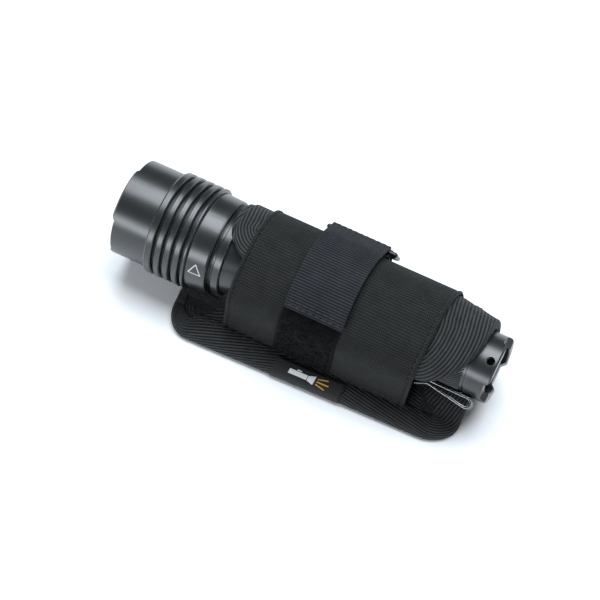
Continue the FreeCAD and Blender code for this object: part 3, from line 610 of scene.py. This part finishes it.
def outline():
    """The outline as (x, s, inward x, inward s, distance along, room), from the near left corner."""
    marks = []

    def arc(cx, cs, radius, start, stop, steps, run=None):
        for k in range(steps + 1):
            c, d = direction(start + (stop - start) * k / steps)
            marks.append((cx + radius * c, cs + (run or radius) * d, radius if stop > start else 1.0))

    def straight(steps, x0, s0, x1, s1, room=1.0):
        for k in range(1, steps):
            marks.append((x0 + (x1 - x0) * k / steps, s0 + (s1 - s0) * k / steps, room))

    top = panel_length
    r = corner_near_left
    arc(left_x + r, r, r, 180, 270, 14)
    straight(90, left_x + r, 0, right_x - corner_near_right, 0)
    r = corner_near_right
    arc(right_x - r, r, r, 270, 360, 16)
    straight(80, right_x, r, right_x, top - corner_flap_run)
    r = corner_flap_right
    arc(right_x - r, top - corner_flap_run, r, 0, 90, 22, corner_flap_run)
    straight(70, right_x - r, top, pocket_x + corner_flap_left, top)
    r = corner_flap_left
    arc(pocket_x + r, top - r, r, 90, 180, 14)
    straight(80, pocket_x, top - r, pocket_x, wing_width + hollow_step)
    r = hollow_step
    arc(pocket_x - r, wing_width + r, r, 360, 270, 6)
    straight(6, pocket_x - r, wing_width, left_x + corner_step, wing_width, corner_step)
    r = corner_step
    arc(left_x + r, wing_width - r, r, 90, 180, 10)
    straight(2, left_x, wing_width - r, left_x, corner_near_left)
    marks = [(x, slanted(x, s), room) for x, s, room in marks] + [marks[0]]
    count = len(marks) - 1
    run = 0.0
    made = []
    for k, (x, s, room) in enumerate(marks):
        before, after = marks[(k - 1) % count], marks[(k + 1) % count]
        dx, ds = after[0] - before[0], after[1] - before[1]
        run += math.dist(marks[k - 1][:2], (x, s)) if k else 0.0
        made.append((x, s, -ds / math.hypot(dx, ds), dx / math.hypot(dx, ds), run, room))
    return made


edge_marks = outline()
print("outline", len(edge_marks), "marks,", round(edge_marks[-1][4], 3), "m round")

# %% Where the ridges run
label_low, label_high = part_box("label")
turning_run = (label_low.x + label_high.x) / 2 - left_x
tape_height = pad_thick / 2 + tape_thick + 0.05 * mm
nose_run = math.pi * tape_height
tape_setback = 1.2 * mm
nose_share = 0.6
mark_places = np.array([mark[:2] for mark in edge_marks])
off_wing = mark_places[:, 1] > wing_width - 4 * mm


def drift(run):
    """The ridges slant to the edge, one way before the label and the other way after it."""
    return -0.36 * run if run < turning_run else 0.22 * run - 0.58 * turning_run


def lay_ridges(bm):
    """Keeps, for each point of the flat pattern, its run along the edge and its distance from it."""
    flat = bm.loops.layers.uv.new("flat")
    places = {}
    for vert in bm.verts:
        s = slanted(vert.co.x, vert.co.y)
        far = np.hypot(mark_places[:, 0] - vert.co.x, mark_places[:, 1] - s)
        k = int(np.argmin(far + off_wing if s < wing_width + 1 * mm else far))
        across = float(far[k]) + tape_setback - nose_share * tape_height + nose_run / 2
        places[vert] = (edge_marks[k][4], across + drift(edge_marks[k][4]))
    for face in bm.faces:
        for loop in face.loops:
            loop[flat].uv = places[loop.vert]


print("ridges turn at", round(turning_run, 3), "m along the edge")

# %% [markdown]
# ## Foam and cover
# The panel is a closed shell: two faces of cloth over foam. It is thickest in the middle and pulled thin
# where the edge is bound. A grid is stretched between the two side edges row by row, with rows close
# together at the round corners.

# %% Make the padded panel
def corner_rows(radius, steps):
    """Distances that put even steps round a corner's arc."""
    return [radius * (1 - math.cos(math.pi / 2 * k / steps)) for k in range(steps + 1)]


def panel_rows():
    """The distances of the grid's rows, from the wing's edge to the flap's."""
    near = corner_rows(corner_near_right, 9)
    far = [panel_length - d for d in reversed(corner_rows(corner_flap_run, 12))]
    step = [wing_width - d for d in reversed(corner_rows(corner_step, 6))]
    hollow = [wing_width + 0.02 * mm + d for d in corner_rows(hollow_step, 4)]
    middle = list(np.linspace(hollow[-1], far[0], 50))[1:-1]
    between = [d for d in near if d < step[0] - 0.3 * mm]
    return between + step + hollow + middle + far


rows = panel_rows()
columns = 84
bm = slab(0, 1, 0, 1, 1.0, columns, len(rows) - 1, base=-0.5)
for vert in bm.verts:
    s = rows[int(round(vert.co.y * (len(rows) - 1)))]
    x0, x1 = left_edge(s) + 0.3 * mm, right_edge(s) - 0.3 * mm
    x = x0 + (x1 - x0) * vert.co.x
    edge = min(x - x0, x1 - x, s, panel_length - s)
    plump = 1 - math.exp(-max(0.0, edge) / (3 * mm))
    puff = 0.12 * mm * math.sin(x / (6.5 * mm)) * math.sin(s / (8 * mm))
    half = pad_thick / 2 * (0.72 + 0.28 * plump) + puff * plump
    vert.co = (x, min(max(s, 0.3 * mm), panel_length - 0.3 * mm), half if vert.co.z > 0 else -half)
lay_ridges(bm)
for vert in bm.verts:
    x, s, h = vert.co
    vert.co = panel_place(x, slanted(x, s), h)
padding = finished("holster_padding", bm, "pad_fabric", "holster")
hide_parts("holster_pad")

# %% [markdown]
# ## Binding tape
# A herringbone tape is folded over the panel's raw edge and sewn through. Its ridges are the strongest
# texture on the holster, so the tape is a strip of its own: it runs all the way round the outline, down
# one face, round the edge and back on the other. Its UV map holds the distance round the outline and the
# distance across the tape.

# %% Make the binding
tape_width = 10.2 * mm
half_tape = tape_width + nose_run / 2


def tape_reach(k):
    """The tape's width on one face: it narrows where a tight corner leaves less room."""
    count = len(edge_marks) - 1
    rooms = [0.9 * edge_marks[(k + j) % count][5] + 0.34 * mm * abs(j) for j in range(-12, 13)]
    return min([tape_width] + rooms)


def tape_mark(co):
    """The outline's mark and the distance across the tape, for a point of the flat grid."""
    return int(round((co.x + 0.5) * (len(edge_marks) - 1))), co.y * 2 * half_tape


reaches = [tape_reach(k) for k in range(len(edge_marks))]
across_steps = 40
bm = bmesh.new()
bmesh.ops.create_grid(bm, x_segments=len(edge_marks) - 1, y_segments=across_steps, size=0.5)
flat = bm.loops.layers.uv.new("flat")
for face in bm.faces:
    for loop in face.loops:
        k, w = tape_mark(loop.vert.co)
        run = edge_marks[k][4]
        loop[flat].uv = (run, abs(w) + drift(run))
for vert in bm.verts:
    k, w = tape_mark(vert.co)
    x, s, nx, ns, run, room = edge_marks[k]
    if abs(w) <= nose_run / 2:
        turn = w / tape_height
        depth, h = tape_height * (1 - math.cos(turn)) * nose_share, tape_height * math.sin(turn)
    else:
        depth = nose_share * tape_height + (abs(w) - nose_run / 2) * reaches[k] / tape_width
        settle = min(1.0, (abs(w) - nose_run / 2) / tape_width)
        ripple = 0.06 * mm * math.sin(run / (1.9 * mm)) * settle
        h = math.copysign(tape_height - 0.12 * mm * settle + ripple, w)
    vert.co = panel_place(x + nx * (depth - tape_setback), s + ns * (depth - tape_setback), h)
bmesh.ops.remove_doubles(bm, verts=bm.verts, dist=1e-6)
outward(bm)
binding = finished("binding", bm, "binding_tape", "holster")
shell = binding.modifiers.new("tape", "SOLIDIFY")
shell.thickness = tape_thick * 0.8
shell.offset = -1
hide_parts("wing_binding", "flap_binding")

# %% [markdown]
# ## Elastic band
# A wide elastic band is sewn under the holster, comes up the far side, crosses over the flap and is sewn
# down at the wing. It is ribbed across its width, so every rib is real geometry, and its two side
# edges are turned in as hems.

# %% Tracks of the band and the strap
band_thick = 1.0 * mm
loop_thick = 1.4 * mm
webbing_thick = 1.3 * mm
hook_thick = 0.55 * mm
band_radius = band_high.y - band_thick / 2
foot = (-wing_reach + 9.0 * mm, band_low.z + band_thick / 2)


def over_light(radius, foot_point, start):
    """From the far side over the light, then straight down to a foot on the wing."""
    reach = math.dist((0.0, axis_z), foot_point)
    angle = math.degrees(math.atan2(foot_point[1] - axis_z, foot_point[0])) % 360
    leave = angle - math.degrees(math.acos(radius / reach))
    return [("arc", (0.0, axis_z), radius, start, leave), ("line", polar(radius, leave), foot_point)]


band_length, band_at = track(over_light(band_radius, foot, -55.0), side=-1.0)
lean_start, lean = 64 * mm, 4.6 * mm


def leaning(at, length):
    """Wraps a layer whose foot is sewn on a few millimetres further towards the lens."""
    return lambda x, s, h: (x - lean * max(0.0, (s + band_length - length - lean_start)
                                           / (band_length - lean_start)) ** 1.3, *at(s, h))


band_place = leaning(band_at, band_length)
print("band is", round(band_length, 4), "m long")

# %% Make the elastic band
rib_pitch = 1.2 * mm
hem_reach = 4.0 * mm
rows_per_rib = 5
rib_rise, hem_rise, swell_rise = 0.13 * mm, 0.50 * mm, 0.12 * mm
hem_middle, hem_half, hem_groove, groove_half = 0.85 * mm, 0.70 * mm, 1.95 * mm, 0.32 * mm
band_width = band_high.x - band_low.x
band_rows = int(band_length / rib_pitch * rows_per_rib)
bm = slab(0, 1, 0, band_length, band_thick * 0.8, 100, band_rows, base=-band_thick / 2)
for vert in bm.verts:
    t, s, h = vert.co
    edge = float(np.interp(min(t, 1 - t), (0, 0.25, 0.5), (0, hem_reach, band_width / 2)))
    x = band_low.x + edge if t < 0.5 else band_high.x - edge
    rolled = math.exp(-((edge - hem_middle) / hem_half) ** 4)
    rib = 0.5 + 0.5 * math.cos(2 * math.pi * s / rib_pitch)
    swell = math.sin(x / (11 * mm)) * math.sin(s / (13 * mm) + 1)
    if h > 0:
        h += rib_rise * rib * (1 - rolled) + hem_rise * rolled + swell_rise * swell
        h -= hem_rise * math.exp(-((edge - hem_groove) / groove_half) ** 2)
    if edge < 0.3 * mm:
        h *= 0.7
    vert.co = (x, s, h)
wrap(bm, band_place)
band = finished("elastic_wrap", bm, "elastic_knit", "holster")
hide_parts("elastic_band")

# %% [markdown]
# ## Loop strip
# Under the strap lies a strip of loop pile, the soft half of a hook-and-loop closure. It is a woven
# ground with a pile of tiny nylon loops. The ground is a lumpy slab; the loops are small bent tubes,
# placed by a seeded random draw.

# %% Make the loop strip's ground
loop_low, loop_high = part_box("loop_strip")
layer_gap = 0.05 * mm
loop_radius = band_radius + band_thick / 2 + layer_gap + loop_thick / 2
loop_foot = (foot[0] - (band_thick + loop_thick) / 2 - 0.1 * mm, foot[1] + 0.3 * mm)
loop_length, loop_at = track(over_light(loop_radius, loop_foot, 38.0), side=-1.0)
rng = random.Random(7)
bm = slab(loop_low.x, loop_high.x, 0, loop_length, 0.9 * mm, 50, 130, base=-loop_thick / 2)
for vert in bm.verts:
    x, s, h = vert.co
    edge = min(x - loop_low.x, loop_high.x - x, loop_length - s)
    selvedge = math.exp(-(edge / (1.6 * mm)) ** 2)
    if h > 0:
        lump = (math.sin(x / (1.7 * mm) + math.sin(s / (2.3 * mm)))
                * math.sin(s / (1.9 * mm) + math.sin(x / (2.9 * mm))))
        h += 0.16 * mm * lump * (1 - selvedge) - 0.3 * mm * selvedge + 0.12 * mm * rng.random()
    vert.co = (x, s, h)
loop_place = leaning(loop_at, loop_length)
wrap(bm, loop_place)
loop_ground = finished("loop_ground", bm, "loop_pile", "holster")
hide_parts("loop_strip")

# %% Make the pile of loops
def small_loop(bm, middle, turn, size, wire):
    """One standing loop of thread: a half ring of five three-sided segments."""
    previous = None
    for k in range(6):
        a = math.pi * k / 5
        centre = middle + Vector((math.cos(turn) * math.cos(a) * size, math.sin(turn) * math.cos(a) * size,
                                  math.sin(a) * size * 1.3))
        out = Vector((math.cos(turn) * math.cos(a), math.sin(turn) * math.cos(a), math.sin(a)))
        sideways = Vector((-math.sin(turn), math.cos(turn), 0))
        ring = [bm.verts.new(centre + (out * math.cos(b) + sideways * math.sin(b)) * wire)
                for b in (0.0, 2.1, 4.2)]
        edges = [bm.edges.new((ring[j], ring[(j + 1) % 3])) for j in range(3)]
        if previous:
            bmesh.ops.bridge_loops(bm, edges=previous + edges)
        previous = edges


bm = bmesh.new()
loop_count = 1500
pile_margin = 1.2 * mm
for k in range(loop_count):
    spot = Vector((rng.uniform(loop_low.x + pile_margin, loop_high.x - pile_margin),
                   rng.uniform(loop_length * 0.35, loop_length - pile_margin), 0.1 * mm))
    small_loop(bm, spot, rng.uniform(0, math.pi), rng.uniform(0.28, 0.5) * mm, 0.07 * mm)
outward(bm)
wrap(bm, loop_place)
finished("loop_pile_threads", bm, "loop_pile", "holster")

# %% [markdown]
# ## Strap, ring and tab
# The strap is heavy ribbed webbing. It comes up through an enamelled wire ring on the far side, folds
# back over it and lies over the pile. Only the folded end moves: it peels up about the ring. The tab
# below holds the ring to the band.

# %% Tracks of the strap and the tab
ring_wire, ring_gap, pile_height = 2.0 * mm, 0.1 * mm, 0.6 * mm
joints = {joint["name"]: joint for joint in frame["joints"]}
ring_top = tuple(joints["strap_peel"]["pos_m"][1:])
ring_reach = math.dist(ring_top, (0.0, axis_z))
strap_radius = loop_radius + loop_thick / 2 + layer_gap + pile_height + webbing_thick / 2
strap_fold = ring_wire / 2 + ring_gap + webbing_thick / 2
strap_leave = 30.0 + math.degrees(math.acos((strap_radius - strap_fold) / ring_reach))
strap_stop = 142.0
strap_length, strap_at = track([
    ("arc", ring_top, strap_fold, -148.0, strap_leave),
    ("line", polar(strap_fold, strap_leave, ring_top), polar(strap_radius, strap_leave)),
    ("arc", (0.0, axis_z), strap_radius, strap_leave, strap_stop)], side=-1.0)
ring_pitch = 8.0 * mm
low_angle = 30.0 - math.degrees(ring_pitch / ring_reach)
ring_bottom = polar(ring_reach - layer_gap, low_angle)
tab_thick = webbing_thick - 0.1 * mm
tab_fold = ring_wire / 2 + ring_gap + tab_thick / 2
tab_inner = ring_reach - layer_gap - tab_fold
tab_upper = tab_inner + tab_thick + ring_gap
tab_turn = low_angle - math.degrees(math.acos((tab_upper - tab_fold) / (tab_inner + tab_fold)))
tab_length, tab_at = track([("arc", (0.0, axis_z), tab_inner, -30.0, low_angle),
                            ("arc", ring_bottom, tab_fold, low_angle + 180.0, tab_turn),
                            ("line", polar(tab_fold, tab_turn, ring_bottom), polar(tab_upper, tab_turn))])
print("strap", round(strap_length, 4), "tab", round(tab_length, 4))

# %% Make the webbing pieces
webbing_pitch = 1.15 * mm


def webbing(name, x0, x1, length, thick, place, body, depth, fade=None):
    """A strip of ribbed webbing with real ribs on both faces and a tight selvedge on each side."""
    count = int(length / webbing_pitch * 8)
    bm = slab(x0, x1, 0, length, thick * 0.86, 44, count, rounding=0.16 * mm, base=-thick * 0.43)
    for vert in bm.verts:
        x, s, h = vert.co
        edge = min(x - x0, x1 - x)
        body_share = within((edge - 0.5 * mm) / (0.8 * mm))
        rib = (0.5 + 0.5 * math.cos(2 * math.pi * s / webbing_pitch)) * depth * (0.35 + 0.65 * body_share)
        gather = 0.0
        if fade:
            smooth = fade(s)
            rib *= 1 - 0.7 * smooth
            gather = 0.10 * mm * math.cos(2 * math.pi * (x - x0) / (2.5 * mm)) * smooth
        vert.co = (x, s, h + (rib + gather if h > 0 else -rib * 0.4))
    wrap(bm, place)
    return finished(name, bm, "strap_webbing", body)


strap = webbing("strap_return", strap_low.x, strap_high.x, strap_length, webbing_thick, plain(strap_at),
                "strap", 0.20 * mm, fade=lambda s: math.exp(-((s - 9 * mm) / (8 * mm)) ** 2))
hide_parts("strap_end")
tab = webbing("ring_tab_webbing", strap_low.x, strap_high.x, tab_length, tab_thick, plain(tab_at),
              "holster", 0.12 * mm)
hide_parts("ring_tab")

# %% [markdown]
# ## Hook patch
# The hard half of the closure is sewn under the strap's free end: a thin tape that bristles with small
# stiff hooks. It shows only when the strap is peeled back, and rides with it.

# %% Make the hook patch
hook_low, hook_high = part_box("hook_patch")
hook_radius = strap_radius - webbing_thick / 2 - layer_gap - hook_thick / 2
hook_start = math.degrees(math.acos(hook_high.y / hook_radius))
hook_stop = math.degrees(math.acos(max(-1.0, hook_low.y / hook_radius)))
hook_length, hook_at = track([("arc", (0.0, axis_z), hook_radius, hook_start, hook_stop)], side=-1.0)
bm = slab(hook_low.x, hook_high.x, 0, hook_length, 0.28 * mm, 24, 40, base=-0.02 * mm)
wrap(bm, plain(hook_at))
hook_ground = finished("hook_ground", bm, "hook_tape", "strap")
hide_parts("hook_patch")

# %% Make the hooks
bm = bmesh.new()
hook_pitch = 1.25 * mm
for i in range(int((hook_high.x - hook_low.x - 1.5 * mm) / hook_pitch)):
    for j in range(int((hook_length - 1.5 * mm) / hook_pitch)):
        spot = Vector((hook_low.x + 1.2 * mm + i * hook_pitch, 1.2 * mm + j * hook_pitch, 0))
        small_loop(bm, spot, math.pi / 2 if (i + j) % 2 else 0.0, 0.2 * mm, 0.055 * mm)
bmesh.ops.scale(bm, vec=(1, 1, -1), verts=bm.verts)
outward(bm)
wrap(bm, plain(hook_at))
finished("hook_bristles", bm, "hook_tape", "strap")

# %% [markdown]
# ## Belt loop
# On the back a length of the same webbing is sewn down at both ends, so that a belt slides between it
# and the pad. It lies under the holster here and is the surface that the holster rests on.

# %% Make the belt loop
belt_low, belt_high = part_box("belt_loop")
belt_thick = 1.4 * mm
belt_bend = 1.6 * mm
belt_left, belt_right = belt_low.x + belt_thick / 2, belt_high.x - belt_thick / 2
belt_base = belt_low.z + belt_thick / 2 + 0.16 * mm
belt_length, belt_at = track([
    ("line", (belt_left, belt_high.z), (belt_left, belt_base + belt_bend)),
    ("arc", (belt_left + belt_bend, belt_base + belt_bend), belt_bend, 180.0, 270.0),
    ("line", (belt_left + belt_bend, belt_base), (belt_right - belt_bend, belt_base)),
    ("arc", (belt_right - belt_bend, belt_base + belt_bend), belt_bend, -90.0, 0.0),
    ("line", (belt_right, belt_base + belt_bend), (belt_right, belt_high.z))])


def belt_place(y, s, h):
    """Bends the belt webbing in the plane along the light."""
    x, z = belt_at(s, h)
    return (x, y, z)


belt = webbing("belt_webbing", belt_low.y, belt_high.y, belt_length, belt_thick - 0.1 * mm, belt_place,
               "holster", 0.10 * mm)
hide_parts("belt_loop")

# %% [markdown]
# ## Label
# A small satin label is folded over the wing's edge and sewn on. Its mark is a plain picture of a lamp
# and its beam in thread, in place of any name.

# %% Make the label
label_thick = 0.35 * mm
label_nose = tape_height + tape_thick / 2 + label_thick / 2 - 0.1 * mm
label_top = 6.1 * mm
label_wrap = math.radians(140.0)
nose_squash, under_squash = 0.62, 0.90
label_under = label_wrap * label_nose
label_length = label_top + label_under


def label_place(x, s, h):
    """Folds the label over the bound edge; s runs from below, round the edge and in over the top."""
    if s < label_under:
        turn = s / label_nose - (label_wrap - math.pi / 2)
        rise = (label_nose + h) * math.sin(turn)
        return panel_place(x, -(label_nose + h) * math.cos(turn) * nose_squash,
                           rise if rise > 0 else rise * under_squash)
    return panel_place(x, s - label_under, label_nose + h)


bm = slab(label_low.x, label_high.x, 0, label_length, label_thick, 60, 44, base=-label_thick / 2)
wrap(bm, label_place)
label = finished("label_patch", bm, "label_satin", "holster")
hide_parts("label")

# %% Sew the label's picture
def thread_patch(bm, corners, height):
    """A flat shape of satin stitches on the label, from a few corners (x, s)."""
    face = bm.faces.new([bm.verts.new((label_low.x + x * mm, label_under + s * mm, label_thick / 2))
                         for x, s in corners])
    made = bmesh.ops.extrude_face_region(bm, geom=[face], use_keep_orig=True)
    top = [v for v in made["geom"] if isinstance(v, bmesh.types.BMVert)]
    bmesh.ops.translate(bm, vec=(0, 0, height), verts=top)


for name, slot_name, shapes in (
        ("lamp_mark", "white_thread", [[(7.0, 1.2), (15.0, 1.2), (15.0, 3.4), (7.0, 3.4)],
                                       [(15.3, 1.2), (18.3, 0.2), (18.3, 4.4), (15.3, 3.4)],
                                       [(10.0, 3.7), (12.0, 3.7), (12.0, 4.2), (10.0, 4.2)]]),
        ("beam_mark", "amber_thread", [[(19.3, 3.3), (23.6, 4.4), (23.6, 4.9), (19.3, 3.8)],
                                       [(19.3, 2.0), (24.6, 2.0), (24.6, 2.6), (19.3, 2.6)],
                                       [(19.3, 0.8), (23.6, -0.3), (23.6, 0.2), (19.3, 1.3)]])):
    bm = bmesh.new()
    for corners in shapes:
        thread_patch(bm, corners, 0.12 * mm)
    outward(bm)
    wrap(bm, label_place)
    finished(name, bm, slot_name, "holster", smooth=False)

# %% [markdown]
# ## Stitches
# Sewing thread is thick enough to see: each stitch is a small plump bead that dips at both ends. The
# rows follow the tape, the hems of the band, the label and the strap's tip.

# %% The binding's stitches
def sew(name, place, points, body, length=2.2 * mm, width=0.34 * mm):
    """One bead of thread at each point (x, s, h, dx, ds), where place maps (x, s, h)."""
    bm = bmesh.new()
    for x, s, h, dx, ds in points:
        size = math.hypot(dx, ds)
        dx, ds = dx / size, ds / size
        bead = bmesh.ops.create_uvsphere(bm, u_segments=8, v_segments=5, radius=0.5)
        for vert in bead["verts"]:
            a, b, c = vert.co
            along, side = a * length, b * width
            vert.co = place(x + along * dx - side * ds, s + along * ds + side * dx, h + c * width)
    outward(bm)
    finished(name, bm, "black_thread", body)


tape_rows = []
stitch_step, stitch_sink = 2.9 * mm, 0.02 * mm
next_run = 0.0
for x, s, nx, ns, run, room in edge_marks:
    if run >= next_run:
        depth = min(0.9 * room, tape_width) - 2.0 * mm
        for h in (tape_height - stitch_sink, stitch_sink - tape_height):
            tape_rows.append((x + nx * depth, s + ns * depth, h, ns, -nx))
        next_run = run + stitch_step
sew("tape_stitches", panel_place, tape_rows, "holster")

# %% Rows on the band, the label and the strap
def even(length, start, stop):
    """Evenly spaced middles of stitches between two distances."""
    count = max(1, int((stop - start) / length))
    return [start + (stop - start) * (k + 0.5) / count for k in range(count)]


def row_along(x, h, length, start, stop):
    """A row of stitches along the cloth's run at one x."""
    return [(x, s, h, 0.0, 1.0) for s in even(length, start, stop)]


def row_across(s, h, length, start, stop):
    """A row of stitches across the cloth at one distance s."""
    return [(x, s, h, 1.0, 0.0) for x in even(length, start, stop)]


band_top = band_thick * 0.3 + 0.14 * mm
hem_in = 2.0 * mm
rows = []
for x in (band_low.x + hem_in, band_high.x - hem_in):
    rows += row_along(x, band_top - 0.3 * mm, 3.0 * mm, 4 * mm, band_length - 3 * mm)
for s in (band_length - 2.2 * mm, band_length - 4.6 * mm):
    rows += row_across(s, band_top, 2.9 * mm, band_low.x + hem_in, band_high.x - hem_in)
sew("band_stitches", band_place, rows, "holster")

edge_in = 1.1 * mm
label_face = label_thick / 2
label_sides = (label_low.x + edge_in, label_high.x - edge_in)
rows = row_across(label_length - edge_in, label_face, 2.0 * mm, *label_sides)
for x in label_sides:
    rows += row_along(x, label_face, 2.0 * mm, 3 * mm, label_length - edge_in)
sew("label_stitches", label_place, rows, "holster", length=1.5 * mm, width=0.26 * mm)

strap_face = webbing_thick * 0.43 + 0.16 * mm
rows = []
for d in (1.6 * mm, 3.4 * mm):
    rows += row_across(strap_length - d, strap_face, 2.6 * mm, strap_low.x + 1 * mm, strap_high.x - 1 * mm)
sew("strap_stitches", plain(strap_at), rows, "strap")

# %% [markdown]
# ## Knurling
# A diamond knurl is rolled into the barrel and into the front of the tail cap. Diamonds are made as a
# grid turned by 45 degrees whose cells are poked into small pyramids. It is cut square, wrapped round
# the axis and sewn up along its seam. Its valleys lie just under the metal's surface.

# %% Make a knurl
pitch, valley, point_rise = 1.3 * mm, 0.06 * mm, 0.40 * mm


def knurl(name, x0, x1, radius, body):
    """Pyramids round the axis from x0 to x1, on metal of one radius."""
    around = int(round(2 * math.pi * radius / pitch))
    cell = 1.0 / math.sqrt(2)
    reach = around + (x1 - x0) / pitch + 4
    steps = int(reach / cell / 2) * 2
    bm = bmesh.new()
    bmesh.ops.create_grid(bm, x_segments=steps, y_segments=steps, size=steps * cell / 2)
    bmesh.ops.rotate(bm, cent=(0, 0, 0), matrix=Matrix.Rotation(math.pi / 4, 3, "Z"), verts=bm.verts)
    half_x = (x1 - x0) / pitch / 2
    spare = 1.5
    far_away = [f for f in bm.faces if abs(f.calc_center_median().x) > half_x + spare
                or abs(f.calc_center_median().y) > around / 2 + spare]
    bmesh.ops.delete(bm, geom=far_away, context="FACES")
    poked = bmesh.ops.poke(bm, faces=bm.faces[:])
    bmesh.ops.translate(bm, vec=(0, 0, 1), verts=poked["verts"])
    for axis, limit in ((0, half_x), (1, around / 2)):
        for way in (-1, 1):
            normal, place = [0, 0, 0], [0, 0, 0]
            normal[axis], place[axis] = way, way * limit
            bmesh.ops.bisect_plane(bm, geom=bm.verts[:] + bm.edges[:] + bm.faces[:], plane_co=place,
                                   plane_no=normal, clear_outer=True, dist=1e-6)
    for vert in bm.verts:
        x = (x0 + x1) / 2 + vert.co.x * pitch
        angle = 2 * math.pi * vert.co.y / around
        edge = within(min(x - x0, x1 - x) / (0.5 * mm))
        out = radius - valley + point_rise * vert.co.z * edge
        vert.co = (x, out * math.cos(angle), axis_z + out * math.sin(angle))
    bmesh.ops.remove_doubles(bm, verts=bm.verts, dist=1e-6)
    outward(bm)
    if sum(f.normal.dot(f.calc_center_median() - Vector((f.calc_center_median().x, 0, axis_z)))
           for f in bm.faces) < 0:
        bmesh.ops.reverse_faces(bm, faces=bm.faces)
    return finished(name, bm, "knurled_aluminium", body, smooth=False)


barrel_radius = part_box("battery_tube")[1].y
barrel_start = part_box("head_shell")[1].x + 1.5 * mm
clip_low, clip_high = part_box("pocket_clip")
knurl("barrel_knurl", barrel_start, clip_low.x - 1.2 * mm, barrel_radius, "light")
knurl("cap_knurl", cap_low.x + 0.9 * mm, cap_low.x + 13.6 * mm, cap_radius, "tail_cap")

# %% [markdown]
# ## Pocket clip
# The clip is one strip of spring steel that doubles back at the tail, welded to a split ring round the
# barrel. Its black paint has rubbed off along every edge, so the bevelled rim gets bare steel. Both
# parts are slabs bent along a track, as the cloth is.

# %% Make the clip
clip_thick, clip_half, clip_bend, clip_turn = 0.9 * mm, 4.0 * mm, 1.95 * mm, 202.0
strip_low = barrel_radius + 0.4 * mm + clip_thick / 2
strip_high = strip_low + 0.3 * mm
bend_x = clip_high.x - clip_bend - clip_thick / 2
return_x = bend_x - 17 * mm
return_height = strip_low + clip_thick + 0.5 * mm
strip_length, strip_at = track([
    ("line", (clip_low.x + 3 * mm, strip_low), (bend_x, strip_high)),
    ("arc", (bend_x, strip_high + clip_bend), clip_bend, -90.0, 90.0),
    ("line", (bend_x, strip_high + 2 * clip_bend), (return_x, return_height)),
    ("line", (return_x, return_height), (return_x - 5 * mm, return_height + 1.9 * mm))])


def clip_place(side, s, h):
    """Bends the strip in the plane through the axis that the clip stands in."""
    x, out = strip_at(s, h)
    c, d = direction(clip_turn)
    return (x, out * c - side * d, axis_z + out * d + side * c)


bm = slab(-clip_half, clip_half, 0, strip_length, clip_thick, 4, 150, rounding=0.16 * mm,
          base=-clip_thick / 2, rim_slot=1)
wrap(bm, clip_place)
clip = finished("clip_spring", bm, ["clip_steel", "bare_edge"], "light")
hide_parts("pocket_clip")

ring_wall = 1.05 * mm
ring_width = 8 * mm
split_half = 7.5 * mm
split = math.degrees(math.asin(split_half / (barrel_radius + ring_wall)))
clip_ring_length, clip_ring_at = track([("arc", (0.0, axis_z), barrel_radius + 0.1 * mm + ring_wall / 2,
                                         clip_turn - 180.0 + split, clip_turn + 180.0 - split)], side=-1.0)
bm = slab(clip_low.x, clip_low.x + ring_width, 0, clip_ring_length, ring_wall, 4, 140, rounding=0.14 * mm,
          base=-ring_wall / 2, rim_slot=1)
wrap(bm, plain(clip_ring_at))
finished("clip_collar", bm, ["clip_steel", "bare_edge"], "light")

# %% [markdown]
# ## Mark on the cone
# A plain triangle is marked in pale grey on the head, where the metal gets warm. It is three thin bars
# that follow the cone.

# %% Make the triangle mark
outside = 40 * mm
shell_mesh = frame["nodes"]["head_shell"].data
shell_tree = BVHTree.FromPolygons([v.co for v in shell_mesh.vertices],
                                  [tuple(p.vertices) for p in shell_mesh.polygons])


def on_cone(x, angle):
    """The distance of the head's surface from the axis, found by looking in from outside."""
    c, d = direction(angle)
    way = Vector((0, -c, d))
    start = Vector((x, 0, axis_z)) + way * outside
    return outside - shell_tree.ray_cast(start, -way)[3]


mark_x, mark_angle, mark_size = -43.3 * mm, 22.0, 5.4 * mm
cone_radius = on_cone(mark_x, mark_angle)
mark_corners = [[mark_size * 0.58 * c for c in direction(a)] for a in (90, 210, 330)]
bar_width = 0.42 * mm
bm = bmesh.new()
for (x0, y0), (x1, y1) in zip(mark_corners, mark_corners[1:] + mark_corners[:1]):
    bar = bmesh.ops.create_grid(bm, x_segments=6, y_segments=1, size=0.5)
    for vert in bar["verts"]:
        t, side = vert.co.x + 0.5, vert.co.y * bar_width
        length = math.dist((x0, y0), (x1, y1))
        px = x0 + (x1 - x0) * t - (y1 - y0) / length * side
        py = y0 + (y1 - y0) * t + (x1 - x0) / length * side
        angle = mark_angle + math.degrees(py / cone_radius)
        out = on_cone(mark_x + px, angle) + 0.03 * mm
        c, d = direction(angle)
        vert.co = (mark_x + px, -out * c, axis_z + out * d)
finished("cone_mark", bm, "laser_mark", "light")
